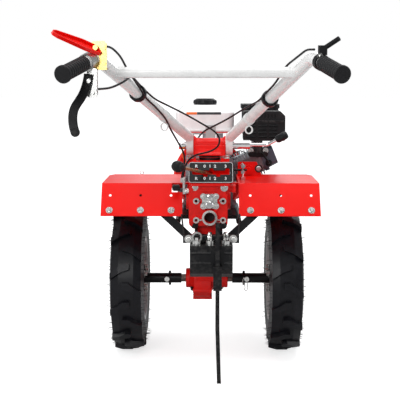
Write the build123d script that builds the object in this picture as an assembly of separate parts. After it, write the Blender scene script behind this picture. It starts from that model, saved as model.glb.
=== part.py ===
from build123d import *
import os
from math import atan2, cos, degrees, pi, radians, sin, tan

# A two-wheeled walking tractor with lugged tyres, a petrol engine ahead of the axle and a long handlebar behind.
# Sizes are in millimetres. While it is built, X points to the machine's right, Y forward and Z up, with X = 0 on
# the middle plane of the gearbox, Y = 0 at the wheel axle and Z = 0 on the ground. At the end everything is moved
# so that the origin is at the bottom centre of the whole machine.

# Clearances
running_gap = 0.3
slip_gap = 0.5

# Wheels and axle
tyre_radius = 235.0
tyre_width = 108.0
tread_width = 94.0
lug_height = 14.0
lug_pairs = 12
lug_bar = 19.0
lug_overlap = 11.0
lug_drop = 30.0
crown_drop = 7.0
tyre_wall = 9.0
rim_radius = 127.0
rim_width = 92.0
rim_sheet = 3.0
rim_lip = 10.0
rim_well = 12.0
disc_hole_circle = 88.0
disc_hole_radius = 14.0
disc_sheet = 5.0
disc_inset = 14.0
wheel_track = 503.0
driveline_x = -9.0
axle_across_flats = 23.0
axle_overhang = 14.0
journal_radius = 14.0
hub_radius = 16.5
hub_bore_radius = 13.5
hub_start = 84.0
hub_flange_radius = 52.0
hub_flange_sheet = 6.0
hub_pin_x = 122.0
hub_pin_radius = 4.0

# Final drive
case_left = -50.0
case_right = 4.0
case_radius = 66.0
seal_start = 59.0
seal_end = 69.0
seal_radius = 32.0
leg_left = -43.0
leg_right = 17.0

# Gearbox
gearbox_x = -4.0
gearbox_width = 118.0
gearbox_bottom = 448.0
gearbox_top = 629.0
cover_top = 572.0
gearbox_rear = -270.0
gearbox_front = -40.0
neck_bottom = 400.0
pto_z = 477.0
pto_bore_radius = 16.5
pto_boss_radius = 23.5
pto_boss_length = 20.0
pto_bore_depth = 42.0
pattern_x = 81.0
pattern_z = 58.0
pattern_centre_z = 497.5
pattern_hole_radius = 4.5
pattern_boss_radius = 10.0
pattern_boss_length = 9.0
pattern_hole_depth = 22.0
filler_y = -232.0
filler_z = 560.0
detent_z = 528.0

# Shift gate
gate_tilt = 35.0
gate_y = -262.0
gate_z = 610.0
gate_width = 135.0
gate_height = 72.0
gate_sheet = 3.0
gate_depth = 26.0
gate_slot = 116.0
lever_radius = 4.6

# Column and handlebar
column_y = -120.0
base_top = 646.0
pivot_z = 685.0
head_width = 100.0
lug_width = 21.0
lug_radius = 32.0
bolt_head_reach = 24.0
bolt_head_radius = 15.0
clamp_rod_radius = 5.2
clamp_radius = 8.0
head_radius = 21.0
head_ear_radius = 28.0
pivot_disc_radius = 33.0
side_gap = 1.0
bar_radius = 16.0
brace_radius = 14.0
bar_foot_x = 56.0
bar_foot_y = -118.2
bar_foot_z = 700.2
bar_corner_x = 266.0
bar_corner_y = -785.0
bar_corner_z = 948.0
bar_end_x = 321.0
bar_end_y = -950.0
bar_end_z = 907.0
bar_bend = 70.0
bar_yaw = -1.25
grip_radius = 19.0
grip_flange_radius = 21.5
grip_length = 116.0
grip_ribs = 9
grip_rib_pitch = 10.5
brace_share = 0.85

# Hitch and depth stake
hitch_bar_front = -300.0
hitch_bar_low = 407.0
hitch_bar_height = 24.0
hitch_bar_depth = 30.0
hitch_bar_left = -79.0
hitch_bar_right = 88.0
stay_radius = 2.5
hitch_rear = -375.0
block_top = 407.0
pin_y = -352.0
block_low = 306.0
block_left = -58.0
block_right = 68.0
stake_x = 23.2
stake_width = 12.0
stake_depth = 20.0
stake_top = 479.0
stake_lean = 5.0
stake_straight_to = 165.0
socket_low = 280.0
stake_travel = 105.0
socket_high = 350.0
socket_wall = 6.0
stake_y = hitch_rear - socket_wall - slip_gap - stake_depth / 2

# Control cables
cable_radius = 2.75
cable_parting = 0.6
adjuster_radius = 5.0
guide_radius = 12.5
guide_sheet = 5.0
strap_width = 12.0

# Fenders
guard_y = 15.0
fender_shift = 3.0
fender_hole_first = 35.0
fender_hole_pitch = 93.0
fender_hole_radius = 4.0
fender_inner = 86.0
fender_outer = 334.0
fender_top = 572.0
fender_sheet = 2.5
fender_rear_bend = -200.0
fender_front_bend = 72.0
fender_rear_edge = -258.0
fender_rear_low = 480.0
fender_front_edge = 98.0
fender_front_low = 525.0

# Engine
engine_base = 454.0
crank_height = 91.0
crank_z = engine_base + crank_height
engine_rear = 95.0
engine_front = 235.0
cylinder_tilt = 22.0
fin_count = 11
fin_pitch = 9.3
fin_sheet = 3.4
crankcase_top = engine_base + 186
rail_width = 30.0
frame_front = 440.0
stand_pivot_y = 400.0
stand_pivot_z = engine_base - 30
stand_radius = 8.0
stand_length = 405.0
stand_half_width = 100.0
tank_left = -114.0
tank_right = 82.0
tank_rear = 105.0
tank_front = 300.0
tank_low = crankcase_top + 66
tank_high = tank_low + 94
muffler_low = crankcase_top + 42
muffler_high = muffler_low + 99
exhaust_x = 162.0
exhaust_z = crankcase_top + 1
intake_z = crankcase_top + 10
filter_low = crankcase_top + 60
filter_high = filter_low + 101


def along_x(sketch, left, right):
    # A sketch drawn in (Y, Z), given thickness from left to right.
    return extrude(Plane.YZ.offset(left) * sketch, amount=right - left, dir=(1, 0, 0))


def along_y(sketch, front, back):
    # A sketch drawn in (X, Z), given thickness from front to back.
    return extrude(Plane.XZ.offset(-front) * sketch, amount=front - back, dir=(0, -1, 0))


def along_z(sketch, low, high):
    # A sketch drawn in (X, Y), given thickness from low to high.
    return extrude(Plane.XY.offset(low) * sketch, amount=high - low, dir=(0, 0, 1))


def outline(points, radius=0.0):
    face = Polygon(*points, align=None)
    return fillet(face.vertices(), radius) if radius else face


def block(x, y, z, radius=0.0, axis=Axis.Z):
    solid = Pos((x[0] + x[1]) / 2, (y[0] + y[1]) / 2, (z[0] + z[1]) / 2) * Box(x[1] - x[0], y[1] - y[0], z[1] - z[0])
    return fillet(solid.edges().filter_by(axis), radius) if radius else solid


def rod(start, end, radius):
    a, b = Vector(*start), Vector(*end)
    return Solid.make_cylinder(radius, (b - a).length, Plane(a, z_dir=b - a))


def turned_x(points, y=0.0, z=0.0):
    # (X, radius) points turned about an axis along X.
    face = Plane((0, y, z), x_dir=(1, 0, 0), z_dir=(0, -1, 0)) * Polygon(*points, align=None)
    return revolve(face, Axis((0, y, z), (1, 0, 0)))


def turned_y(points, x=0.0, z=0.0):
    # (Y, radius) points turned about an axis along Y.
    face = Plane((x, 0, z), x_dir=(0, 1, 0), z_dir=(1, 0, 0)) * Polygon(*points, align=None)
    return revolve(face, Axis((x, 0, z), (0, 1, 0)))


def turned_z(points, x=0.0, y=0.0):
    # (radius, Z) points turned about an axis along Z.
    face = Plane((x, y, 0), x_dir=(1, 0, 0), z_dir=(0, -1, 0)) * Polygon(*points, align=None)
    return revolve(face, Axis((x, y, 0), (0, 0, 1)))


def piped(points, radii, radius):
    # A round bar or tube's outside along a path with rounded corners.
    path = FilletPolyline(*points, radius=radii)
    return sweep(Plane(path @ 0, z_dir=path % 0) * Circle(radius), path=path)


def mirrored(solid):
    return mirror(solid, about=Plane.YZ)


axle_z = tyre_radius
wheel_x = {"left": driveline_x - wheel_track / 2, "right": driveline_x + wheel_track / 2}
outward = {"left": -1, "right": 1}


# Wheels

def tyre(side):
    x = wheel_x[side]
    half, tread, bead = tyre_width / 2, tread_width / 2, rim_width / 2
    crown = tyre_radius - lug_height
    shoulder = crown - crown_drop
    seat = rim_radius + running_gap
    bulge = (seat + shoulder) / 2
    wall = tyre_wall
    rim_top = rim_radius + rim_lip + slip_gap
    outer = [(-bead, seat), (-bead, rim_top), (-half, bulge), (-tread, shoulder), (-tread / 2, crown),
             (tread / 2, crown), (tread, shoulder), (half, bulge), (bead, rim_top), (bead, seat)]
    inner = [(bead - wall, seat), (half - wall, bulge), (tread - wall, shoulder - wall),
             (-tread + wall, shoulder - wall), (-half + wall, bulge), (-bead + wall, seat)]
    carcass = turned_x([(x + u, r) for u, r in outer + inner], z=axle_z)
    reach = tread + 2
    root = shoulder - lug_height
    envelope = turned_x([(x - reach, root), (x - reach, tyre_radius - crown_drop), (x - tread / 2, tyre_radius),
                         (x + tread / 2, tyre_radius), (x + reach, tyre_radius - crown_drop), (x + reach, root)], z=axle_z)
    bar_outline = [(-lug_overlap, 0), (reach * 0.13, 0), (reach, -lug_drop), (reach, -lug_drop - lug_bar),
                   (reach * 0.3, -lug_drop * 0.3 - lug_bar), (-lug_overlap, -lug_bar)]
    about = Pos(0, 0, axle_z)
    pitch = 360 / lug_pairs
    lugs = []
    for hand, phase in ((1, 0), (-1, pitch / 2)):
        face = Polygon(*[(x + hand * u, v + lug_drop) for u, v in bar_outline], align=None)
        blank = extrude(Plane.XZ.offset(root) * face, amount=tyre_radius, dir=(0, -1, 0))
        lug = about * blank & envelope
        lugs += [about * Rot(X=i * pitch + phase) * about.inverse() * lug for i in range(lug_pairs)]
    return carcass.fuse(*[piece for lug in lugs for piece in lug.solids()])


def rim(side):
    # Drop-centre rim and its disc in one profile; u runs from the wheel's middle towards the gearbox.
    x, out = wheel_x[side], outward[side]
    half = rim_width / 2
    lip, wall, well = rim_radius + rim_lip, rim_radius - rim_sheet, rim_radius - rim_well
    disc_near, disc_far = half - disc_inset + disc_sheet / 2, half - disc_inset - disc_sheet / 2
    eye = hub_radius + running_gap
    seat = half + running_gap
    edge = seat + rim_sheet
    profile = [(-edge, lip), (-seat, lip), (-seat, rim_radius), (-half * 0.45, rim_radius), (-half * 0.3, well),
               (half * 0.3, well), (half * 0.45, rim_radius), (seat, rim_radius), (seat, lip), (edge, lip), (edge, wall),
               (disc_near, wall), (disc_near, eye), (disc_far, eye), (disc_far, wall), (half * 0.42, wall),
               (half * 0.25, well - rim_sheet), (-half * 0.25, well - rim_sheet), (-half * 0.42, wall), (-edge, wall)]
    solid = turned_x([(x - out * u, r) for u, r in profile], z=axle_z)
    disc_x = x - out * (half - disc_inset)
    angles = [radians(a) for a in range(0, 360, 60)]
    holes = [Pos(disc_x, disc_hole_circle * cos(a), axle_z + disc_hole_circle * sin(a)) * Rot(Y=90)
             * Cylinder(disc_hole_radius, 3 * disc_sheet) for a in angles]
    return solid - holes


def hub(side):
    x, out = wheel_x[side], outward[side]
    disc_x = x - out * (rim_width / 2 - disc_inset)
    inner_end = driveline_x + out * hub_start
    outer_end = x + out * 8
    tube = turned_x([(inner_end, hub_bore_radius), (inner_end, hub_radius), (outer_end, hub_radius), (outer_end, hub_bore_radius)], z=axle_z)
    near = disc_x - out * disc_sheet / 2
    flange = turned_x([(near, hub_bore_radius), (near, hub_flange_radius), (near - out * hub_flange_sheet, hub_flange_radius),
                       (near - out * hub_flange_sheet, hub_bore_radius)], z=axle_z)
    pin_x = driveline_x + out * hub_pin_x
    pin = Pos(pin_x, 0, axle_z) * Cylinder(hub_pin_radius, 2 * hub_radius + 14)
    bolts = [rod((near, 38 * cos(radians(a)), axle_z + 38 * sin(radians(a))), (near - out * 13, 38 * cos(radians(a)), axle_z + 38 * sin(radians(a))), 6) for a in range(30, 390, 60)]
    return tube + flange + pin + bolts


def axle_shaft():
    half = wheel_track / 2 + axle_overhang - 20
    hexagon = RegularPolygon(axle_across_flats / 2, 6, major_radius=False)
    bars = []
    for out in (-1, 1):
        start = driveline_x + out * (seal_end - 4)
        end = driveline_x + out * half
        low, high = min(start, end), max(start, end)
        bars.append(along_x(Pos(0, axle_z) * hexagon, low, high))
    journal = rod((driveline_x - seal_end + 4, 0, axle_z), (driveline_x + seal_end - 4, 0, axle_z), journal_radius)
    pins = [Pos(driveline_x + out * hub_pin_x, 0, axle_z) * Cylinder(hub_pin_radius + slip_gap, 60) for out in (-1, 1)]
    return journal + bars - pins


# Final drive and gearbox

def final_drive():
    top = gearbox_bottom
    case = along_x(Pos(0, axle_z) * Circle(case_radius), case_left, case_right)
    leg = along_x(Polygon((-case_radius, axle_z), (-150, neck_bottom + 4), (-150, top), (70, top), (case_radius, axle_z), align=None), leg_left, leg_right)
    leg = fillet(leg.edges().filter_by(Axis.X), 10)
    left, right = driveline_x - seal_start, driveline_x + seal_start
    left_hub = turned_x([(left, 0), (left, 30), (case_left + 2, 46), (case_left + 2, 0)], z=axle_z)
    right_hub = turned_x([(case_right - 2, 0), (case_right - 2, 50), (case_right + 14, 31), (right, 31), (right, 0)], z=axle_z)
    bore = rod((-200, 0, axle_z), (200, 0, axle_z), journal_radius + running_gap)
    lugs = [Pos(x, y, z) * Rot(Y=90) * Cylinder(9, case_right - case_left + 8) for x, y, z in
            [((case_left + case_right) / 2, (case_radius - 4) * cos(radians(a)), axle_z + (case_radius - 4) * sin(radians(a))) for a in (-150, -105, -60, -15)]]
    drain = Pos((case_left + case_right) / 2 + 12, 0, axle_z - case_radius - 1) * Cylinder(8, 8)
    rings = []
    for out in (-1, 1):
        a, b = driveline_x + out * (seal_start - 2), driveline_x + out * seal_end
        rings.append(turned_x([(a, 0), (a, seal_radius), (b - out * 2, seal_radius), (b, seal_radius - 3), (b, 0)], z=axle_z))
    return case + leg + left_hub + right_hub + lugs + drain + rings - bore


def gearbox():
    half = gearbox_width / 2
    x0, x1 = gearbox_x - half, gearbox_x + half
    bottom, top = gearbox_bottom, gearbox_top
    body = along_y(outline([(x0, bottom + 8), (x0 + 8, bottom), (x1 - 8, bottom), (x1, bottom + 8), (x1, top - 55),
                            (x1 - 12, top), (x0 + 12, top), (x0, top - 55)], 6), gearbox_front, gearbox_rear + 12)
    corner = Polygon((gearbox_rear, top + 1), (gearbox_rear, cover_top - 6), (gearbox_rear + 12, cover_top - 6),
                     (gearbox_rear + 65, top + 1), align=None)
    body -= along_x(corner, -100, 100)
    cover = along_y(outline([(x0 + 12, bottom + 2), (x1 - 12, bottom + 2), (x1 - 3, bottom + 26), (x1 - 2, 540),
                             (x1 - 16, cover_top), (x0 + 16, cover_top), (x0 + 2, 540), (x0 + 3, bottom + 26)], 5),
                    gearbox_rear + 12, gearbox_rear)
    neck = along_y(outline([(-36, bottom + 2), (-30, neck_bottom + 20), (-30, neck_bottom), (22, neck_bottom),
                            (22, neck_bottom + 20), (30, bottom + 2)]), -150, gearbox_rear + 22)
    face = gearbox_rear - pto_boss_length
    pto = turned_y([(gearbox_rear, 0), (gearbox_rear, pto_boss_radius), (face + 2, pto_boss_radius),
                    (face, pto_boss_radius - 2), (face, 0)], z=pto_z)
    bosses, holes, webs = [], [], []
    for sx in (-1, 1):
        for sz in (-1, 1):
            x, z = sx * pattern_x / 2, pattern_centre_z + sz * pattern_z / 2
            tip = gearbox_rear - pattern_boss_length
            bosses.append(rod((x, gearbox_rear + 4, z), (x, tip, z), pattern_boss_radius))
            holes.append(rod((x, tip + pattern_hole_depth, z), (x, tip - 11, z), pattern_hole_radius))
            reach = Vector(x, 0, z - pto_z)
            turn = degrees(atan2(reach.Z, reach.X))
            web = Rot(Y=-turn) * Pos(reach.length / 2, 0, 0) * Box(reach.length, pattern_boss_length - 2, 9)
            webs.append(Pos(0, gearbox_rear - pattern_boss_length / 2 + 2, pto_z) * web)
    bore = rod((0, face + pto_bore_depth, pto_z), (0, face - 5, pto_z), pto_bore_radius)
    ribs = [block((gearbox_x - 30 + 4 * i, gearbox_x + 30 - 4 * i), (gearbox_rear - 3, gearbox_rear + 2),
                  (563 - 8 * i, 567 - 8 * i)) for i in range(2)]
    ears = [rod((gearbox_x + s * (half - 9), gearbox_rear + 4, z), (gearbox_x + s * (half - 9), gearbox_rear - 6, z), 8)
            for s in (-1, 1) for z in (565, bottom + 10)]
    sides = [rod((gearbox_x, -190, 520), (gearbox_x + s * (half + 9), -190, 520), 30) for s in (-1, 1)]
    sides += [rod((gearbox_x, -110, 540), (gearbox_x + s * (half + 7), -110, 540), 26) for s in (-1, 1)]
    plug = turned_x([(x1 - 4, 0), (x1 - 4, 11), (x1 + 14, 11), (x1 + 14, 15), (x1 + 24, 13), (x1 + 24, 0)],
                    y=filler_y, z=filler_z)
    return body + cover + neck + pto + bosses + webs + ribs + ears + sides + plug - holes - bore


def detent_flange():
    y = gearbox_rear
    face = outline([(-24, -16), (-14, -24), (14, -24), (24, -16), (22, 10), (12, 20), (-12, 20), (-22, 10)], 4)
    plate = along_y(Pos(0, detent_z) * face, y, y - 7)
    ears = [rod((sx * 21, y, detent_z + dz), (sx * 21, y - 12, detent_z + dz), 7) for sx in (-1, 1) for dz in (-17, 14)]
    cap = rod((1, y, detent_z - 11.5), (1, y - 20, detent_z - 11.5), 11.5)
    dome = rod((0, y, detent_z + 7), (0, y - 16, detent_z + 7), 10)
    return plate + ears + cap + dome - gearbox()


gate_plane = Plane((3.5, gate_y, gate_z), x_dir=(1, 0, 0), z_dir=(0, -cos(radians(gate_tilt)), sin(radians(gate_tilt))))


def shift_cover():
    rise = gate_height / 2 * cos(radians(gate_tilt))
    run = gate_height / 2 * sin(radians(gate_tilt))
    low_y, low_z, high_y, high_z = gate_y - run, gate_z - rise, gate_y + run, gate_z + rise
    profile = Polygon((low_y, low_z), (high_y, high_z), (-196, high_z), (-196, gearbox_top), (gearbox_rear + 65, gearbox_top),
                      (gearbox_rear + 12, cover_top - 6), (gearbox_rear + 12, cover_top), (low_y + 3, cover_top), align=None)
    shell = along_x(profile, -54, 60)
    shell = fillet(shell.edges().filter_by(Axis.X).group_by(Axis.Z)[-1], 6)
    hollow = extrude(gate_plane * Rectangle(118, 30), amount=-gate_depth)
    return shell - hollow - gearbox()


def gate_plate():
    plate = RectangleRounded(gate_width, gate_height, 11)
    slot = Pos(2, 0) * RectangleRounded(gate_slot, 15, 5)
    gates = [Pos(x, dy) * RectangleRounded(13, 14, 4) for x, dy in ((-44, 8), (-16, -8), (2, 8), (22, -8), (50, 8))]
    return extrude(gate_plane * (plate - slot - gates), amount=gate_sheet)


lever_tip = Vector(-88, -396, 641)
lever_gate = gate_plane.origin + Vector(-15, 0, 0)
lever_line = (lever_tip - lever_gate).normalized()


def gear_lever():
    # It passes through the gate and stands on the bottom of the shift housing.
    foot = lever_gate - lever_line * (gate_depth / lever_line.dot(gate_plane.z_dir) + lever_radius)
    stick = rod(tuple(foot), tuple(lever_tip), lever_radius) - shift_cover()
    return stick.solids().sort_by(SortBy.VOLUME)[-1]


def gear_knob():
    # A tapered knob with lengthwise flutes, pushed over the end of the lever.
    start = lever_tip - lever_line * 22
    profile = Polygon((0, 0), (10, 0), (13, 8), (16.5, 22), (17, 32), (14, 42), (7, 47), (0, 48), align=None)
    knob = revolve(Plane((0, 0, 0), x_dir=(1, 0, 0), z_dir=(0, -1, 0)) * profile, Axis.Z)
    flutes = [Rot(Z=a) * Pos(18.4, 0, 22) * Cylinder(3, 40) for a in range(0, 360, 36)]
    return Plane(start, z_dir=lever_line) * (knob - flutes) - gear_lever()


# Engine

def clutch_housing():
    bell = turned_y([(gearbox_front, 0), (gearbox_front, 62), (20, 70), (76, 76), (76, 82), (engine_rear, 82), (engine_rear, 0)], z=crank_z)
    flat = block((-200, 200), (gearbox_front - 1, engine_rear + 1), (engine_base, crank_z + 120))
    feet = block((-62, 54), (30, engine_rear), (engine_base, engine_base + 26))
    return (bell & flat) + feet


cylinder_plane = Plane((0, (engine_rear + engine_front) / 2 - 5, crank_z), x_dir=(0, 1, 0), z_dir=(cos(radians(cylinder_tilt)), 0, sin(radians(cylinder_tilt))))


def engine_block():
    case = block((-82, 78), (engine_rear, engine_front), (engine_base, crankcase_top), 22, Axis.Y)
    pan = block((-92, 92), (engine_rear + 8, engine_front - 6), (engine_base, engine_base + 12), 8)
    filler = rod((-60, engine_rear + 30, engine_base + 46), (-104, engine_rear + 22, engine_base + 66), 11)
    barrel = extrude(cylinder_plane.offset(70) * RectangleRounded(80, 80, 20), amount=120)
    fins = [extrude(cylinder_plane.offset(88 + i * fin_pitch) * RectangleRounded(100, 96, 12), amount=fin_sheet)
            for i in range(fin_count)]
    return case + pan + filler + barrel + fins


def rocker_cover():
    head = extrude(cylinder_plane.offset(190) * RectangleRounded(98, 82, 14), amount=14)
    cover = extrude(cylinder_plane.offset(204) * RectangleRounded(88, 68, 16), amount=34, taper=6)
    return head + cover


def fan_housing():
    shell = turned_y([(engine_front, 0), (engine_front, 118), (engine_front + 12, 126), (engine_front + 44, 126), (engine_front + 60, 112), (engine_front + 60, 0)], z=crank_z + 4)
    flat = block((-140, 140), (engine_front - 1, engine_front + 70), (engine_base, crank_z + 122))
    return shell & flat


def recoil_starter():
    y = engine_front + 60
    cup = turned_y([(y, 0), (y, 92), (y + 18, 88), (y + 30, 70), (y + 30, 0)], z=crank_z + 4)
    slots = [Pos(0, y + 26, crank_z + 4) * Rot(Y=a) * Pos(0, 0, 60) * Box(9, 12, 26) for a in range(0, 360, 30)]
    handle = block((70, 108), (y + 8, y + 22), (crank_z + 70, crank_z + 84), 5, Axis.X)
    return cup - slots + rod((40, y + 14, crank_z + 60), (72, y + 15, crank_z + 77), 5) + handle


def fuel_tank():
    low = along_z(Pos((tank_left + tank_right) / 2, (tank_rear + tank_front) / 2) * RectangleRounded(tank_right - tank_left, tank_front - tank_rear, 34), tank_low, tank_high - 26)
    top = loft([Plane.XY.offset(tank_high - 26) * Pos((tank_left + tank_right) / 2, (tank_rear + tank_front) / 2) * RectangleRounded(tank_right - tank_left, tank_front - tank_rear, 34),
                Plane.XY.offset(tank_high) * Pos((tank_left + tank_right) / 2, (tank_rear + tank_front) / 2) * RectangleRounded(tank_right - tank_left - 44, tank_front - tank_rear - 44, 30)])
    seam = along_z(Pos((tank_left + tank_right) / 2, (tank_rear + tank_front) / 2) * RectangleRounded(tank_right - tank_left + 8, tank_front - tank_rear + 8, 36), tank_low + 8, tank_low + 13)
    return low + top + seam


def tank_cap():
    x, y = (tank_left + tank_right) / 2, (tank_rear + tank_front) / 2 - 10
    cap = turned_z([(0, tank_high), (37, tank_high), (41, tank_high + 5), (40, tank_high + 14), (30, tank_high + 20), (0, tank_high + 21)], x, y)
    notches = [Pos(x + 43 * cos(radians(a)), y + 43 * sin(radians(a)), tank_high + 10) * Cylinder(5, 40) for a in range(0, 360, 45)]
    return cap - notches


def tank_stand():
    middle = (tank_left + tank_right) / 2
    legs = [block((middle + x - 11, middle + x + 11), (y, y + 8), (crankcase_top, tank_low)) for x in (-50, 50) for y in (112, 214)]
    shelf = block((middle - 61, middle + 61), (112, 222), (tank_low - 4, tank_low))
    boss = block((middle - 8, middle + 26), (104, 113), (tank_low - 38, tank_low - 1), 3, Axis.Y)
    return shelf + legs + boss


def muffler():
    # A box with a sloped shoulder, its guard pressed into rows of louvres.
    low, high = muffler_low, muffler_high
    body = block((112, 252), (88, 168), (low, high))
    body = chamfer(body.edges().filter_by(Axis.Y).sort_by(lambda e: e.center().X + e.center().Z)[-1:], 16)
    body = fillet(body.edges().filter_by(Axis.Y), 5)
    slits = [block((126 + 36 * c, 154 + 36 * c), (80, 92), (low + 10 + 12 * r, low + 14 + 12 * r)) for r in range(4) for c in range(3)]
    louvres = [along_x(Polygon((88.5, low + 14 + 12 * r), (84, low + 15 + 12 * r), (88.5, low + 19 + 12 * r), align=None),
                       126 + 36 * c, 154 + 36 * c) for r in range(4) for c in range(3)]
    combs = [block((128 + 11 * i, 134 + 11 * i), (80, 92), (high - 23, high - 9)) for i in range(9)]
    ledge = block((112, 248), (84, 90), (low + 62, low + 69))
    return body + ledge + louvres - slits - combs


def exhaust_pipe():
    y, x, z = engine_rear, exhaust_x, exhaust_z
    flange = block((x - 33, x + 33), (y - 4, y + 4), (z - 13, z + 13), 10, Axis.Y)
    elbow = rod((x, y + 4, z), (x, y + 4, muffler_low), 15) + rod((x, y + 3, z), (x, y + 24, z), 15)
    bolts = [rod((x + dx, y - 11, z), (x + dx, y, z), 7) for dx in (-23, 23)]
    cut = flange + elbow + bolts - engine_block() - rocker_cover()
    return max(cut.solids(), key=lambda solid: solid.volume)


def air_cleaner():
    body = block((112, 236), (190, 300), (filter_low, filter_high - 15), 14)
    lid = block((108, 240), (186, 304), (filter_high - 15, filter_high), 16)
    clips = [block((x - 7, x + 7), (186, 192), (filter_high - 34, filter_high - 4)) for x in (134, 214)]
    return body + lid + clips


def carburettor():
    x, z = exhaust_x + 3, intake_z
    throat = rod((x, 206, z), (x, 268, z), 17)
    bowl = rod((x, 240, z - 32), (x, 240, z), 17)
    stub = rod((x, 262, z), (x, 262, filter_low), 19)
    return throat + bowl + stub - engine_block() - rocker_cover()


def engine_frame():
    rails, webs, lugs = [], [], []
    for s in (-1, 1):
        inner, outer = gearbox_x + s * gearbox_width / 2, gearbox_x + s * (gearbox_width / 2 + rail_width)
        rails.append(block(sorted((inner, outer)), (-70, frame_front), (engine_base - 12, engine_base)))
        webs.append(block(sorted((inner, inner + s * 6)), (gearbox_front + 2, frame_front), (engine_base - 17, engine_base - 11)))
        lugs.append(block(sorted((inner + s * 5, inner + s * 13)), (stand_pivot_y - 16, stand_pivot_y + 16), (stand_pivot_z - 18, engine_base - 11)))
    left, right = gearbox_x - gearbox_width / 2 - rail_width, gearbox_x + gearbox_width / 2 + rail_width
    cross = block((left, right), (frame_front - 40, frame_front), (engine_base - 12, engine_base))
    bore = rod((-200, stand_pivot_y, stand_pivot_z), (200, stand_pivot_y, stand_pivot_z), stand_radius + running_gap)
    return cross + rails + webs + lugs - bore


def bumper():
    z = engine_base + 16
    path = piped([(gearbox_x - 100, 330, z), (gearbox_x - 100, 478, z), (gearbox_x + 100, 478, z), (gearbox_x + 100, 330, z)], 60, 14)
    tabs = [block((gearbox_x + x - 12, gearbox_x + x + 12), (410, 430), (engine_base, z)) for x in (-88, 88)]
    return path + tabs


def front_stand():
    reach = stand_length
    half = stand_half_width
    shaft = rod((gearbox_x - half, stand_pivot_y, stand_pivot_z), (gearbox_x + half, stand_pivot_y, stand_pivot_z), stand_radius)
    legs = [rod((gearbox_x + s * half, stand_pivot_y + 12, stand_pivot_z), (gearbox_x + s * half, stand_pivot_y - reach, stand_pivot_z), stand_radius + 1) for s in (-1, 1)]
    tie = rod((gearbox_x - half, stand_pivot_y - reach * 0.6, stand_pivot_z), (gearbox_x + half, stand_pivot_y - reach * 0.6, stand_pivot_z), stand_radius - 1)
    return shaft + legs + tie


# Fenders

def fender(side):
    out = outward[side]
    line = [(fender_rear_edge, fender_rear_low), (fender_rear_bend, fender_top), (fender_front_bend, fender_top),
            (fender_front_edge, fender_front_low)]
    under = [(y, z - fender_sheet) for y, z in line]
    inner, x_out = fender_shift + out * fender_inner, fender_shift + out * fender_outer
    sheet = along_x(Polygon(*line, *reversed(under), align=None), *sorted((inner, x_out)))
    corner = Polygon((x_out, fender_front_edge + 1), (x_out - out * 28, fender_front_edge + 1),
                     (x_out, fender_front_edge - 60), align=None)
    wall = gearbox_x + out * gearbox_width / 2
    top = fender_top - fender_sheet
    arm = block(sorted((wall, inner + out * 30)), (-158, -138), (top - 6, top))
    foot = block(sorted((wall, wall + out * 6)), (-158, -138), (fender_top - 40, top))
    slope = degrees(atan2(fender_rear_bend - fender_rear_edge, fender_top - fender_rear_low))
    middle = ((fender_rear_edge + fender_rear_bend) / 2 + 7, (fender_top + fender_rear_low) / 2 + 11)
    holes = [Pos(inner + out * (fender_hole_first + fender_hole_pitch * i), *middle) * Rot(X=90 - slope)
             * Cylinder(fender_hole_radius, 30) for i in range(3)]
    piece = sheet + arm + foot - along_z(corner, 400, 700) - holes
    if side == "left":
        piece -= block((inner - 33, inner + 4), (fender_rear_edge, fender_rear_bend + 8), (fender_top - 26, fender_top + 1))
    return piece


def strut(side):
    out = outward[side]
    under = fender_top - fender_sheet
    mid_z = hitch_bar_low + hitch_bar_height / 2
    start, end = Vector(out * 60, hitch_bar_front + 4, mid_z), Vector(out * 238, -172, under - 6)
    along = end - start
    frame = Plane(start, x_dir=along.cross(Vector(0, 1, 0)), z_dir=along)
    bar = extrude(frame * Rectangle(24, 7), amount=along.length)
    pad = block(sorted((out * 52, out * 76)), (hitch_bar_front, hitch_bar_front + 7), (mid_z - 11, mid_z + 11))
    tab = block(sorted((out * 225, out * 262)), (-190, -154), (under - 6, under))
    above = block((-400, 400), (-400, 0), (under, under + 60))
    return bar + pad + tab - above - hitch_frame()


# Hitch

def hitch_frame():
    back = hitch_bar_front - hitch_bar_depth
    top = hitch_bar_low + hitch_bar_height
    bar = block((hitch_bar_left, hitch_bar_right), (back, hitch_bar_front), (hitch_bar_low, top), 4, Axis.X)
    cheeks = [block((x, x + 9), (hitch_bar_front - 1, -170), (neck_bottom + 8, gearbox_bottom - 8)) for x in (-45, 30)]
    stays = []
    for side, x in (("left", hitch_bar_left + 3), ("right", hitch_bar_right - 3)):
        # The thin stay leans in to the lower inner corner of the fender's rear flap.
        foot = (x, back + 10, top - 2)
        head = (fender_shift + outward[side] * (fender_inner + 2), fender_rear_edge + stay_radius, fender_rear_low + 3)
        stays.append(rod(foot, head, stay_radius))
    return bar + cheeks + stays - fender("left") - fender("right")


def hitch_block():
    # A channel open to the front with a curved lower lip, side plates and pressed ledges across its back.
    front, back, top, low, sheet = hitch_bar_front, hitch_rear, block_top, block_low, 9
    outer = [(front, top), (back, top), (back, top - 67), (back + 13, low + 16), (back + 45, low), (front, low)]
    inner = [(front, low + 8), (back + 47, low + 8), (back + 21, low + 21), (back + sheet, top - 63), (back + sheet, top - 10), (front, top - 10)]
    channel = along_x(Polygon(*outer, *inner, align=None), block_left, block_right)
    sides = [along_x(Polygon(*inner, align=None), x, x + 8) for x in (block_left, block_right - 8)]
    plate = block((block_left, block_right), (front - 8, front), (low, top - 7))
    ledges = [along_x(Polygon((back + 1, z - 5), (back - 3, z), (back + 1, z + 5), align=None), block_left, block_right) for z in (top - 22, top - 52)]
    socket = block((stake_x - 20, stake_x + 20), (back - 6, back + 1), (socket_low - 1, block_top))
    return channel + sides + plate + [ledge - socket for ledge in ledges]


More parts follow.
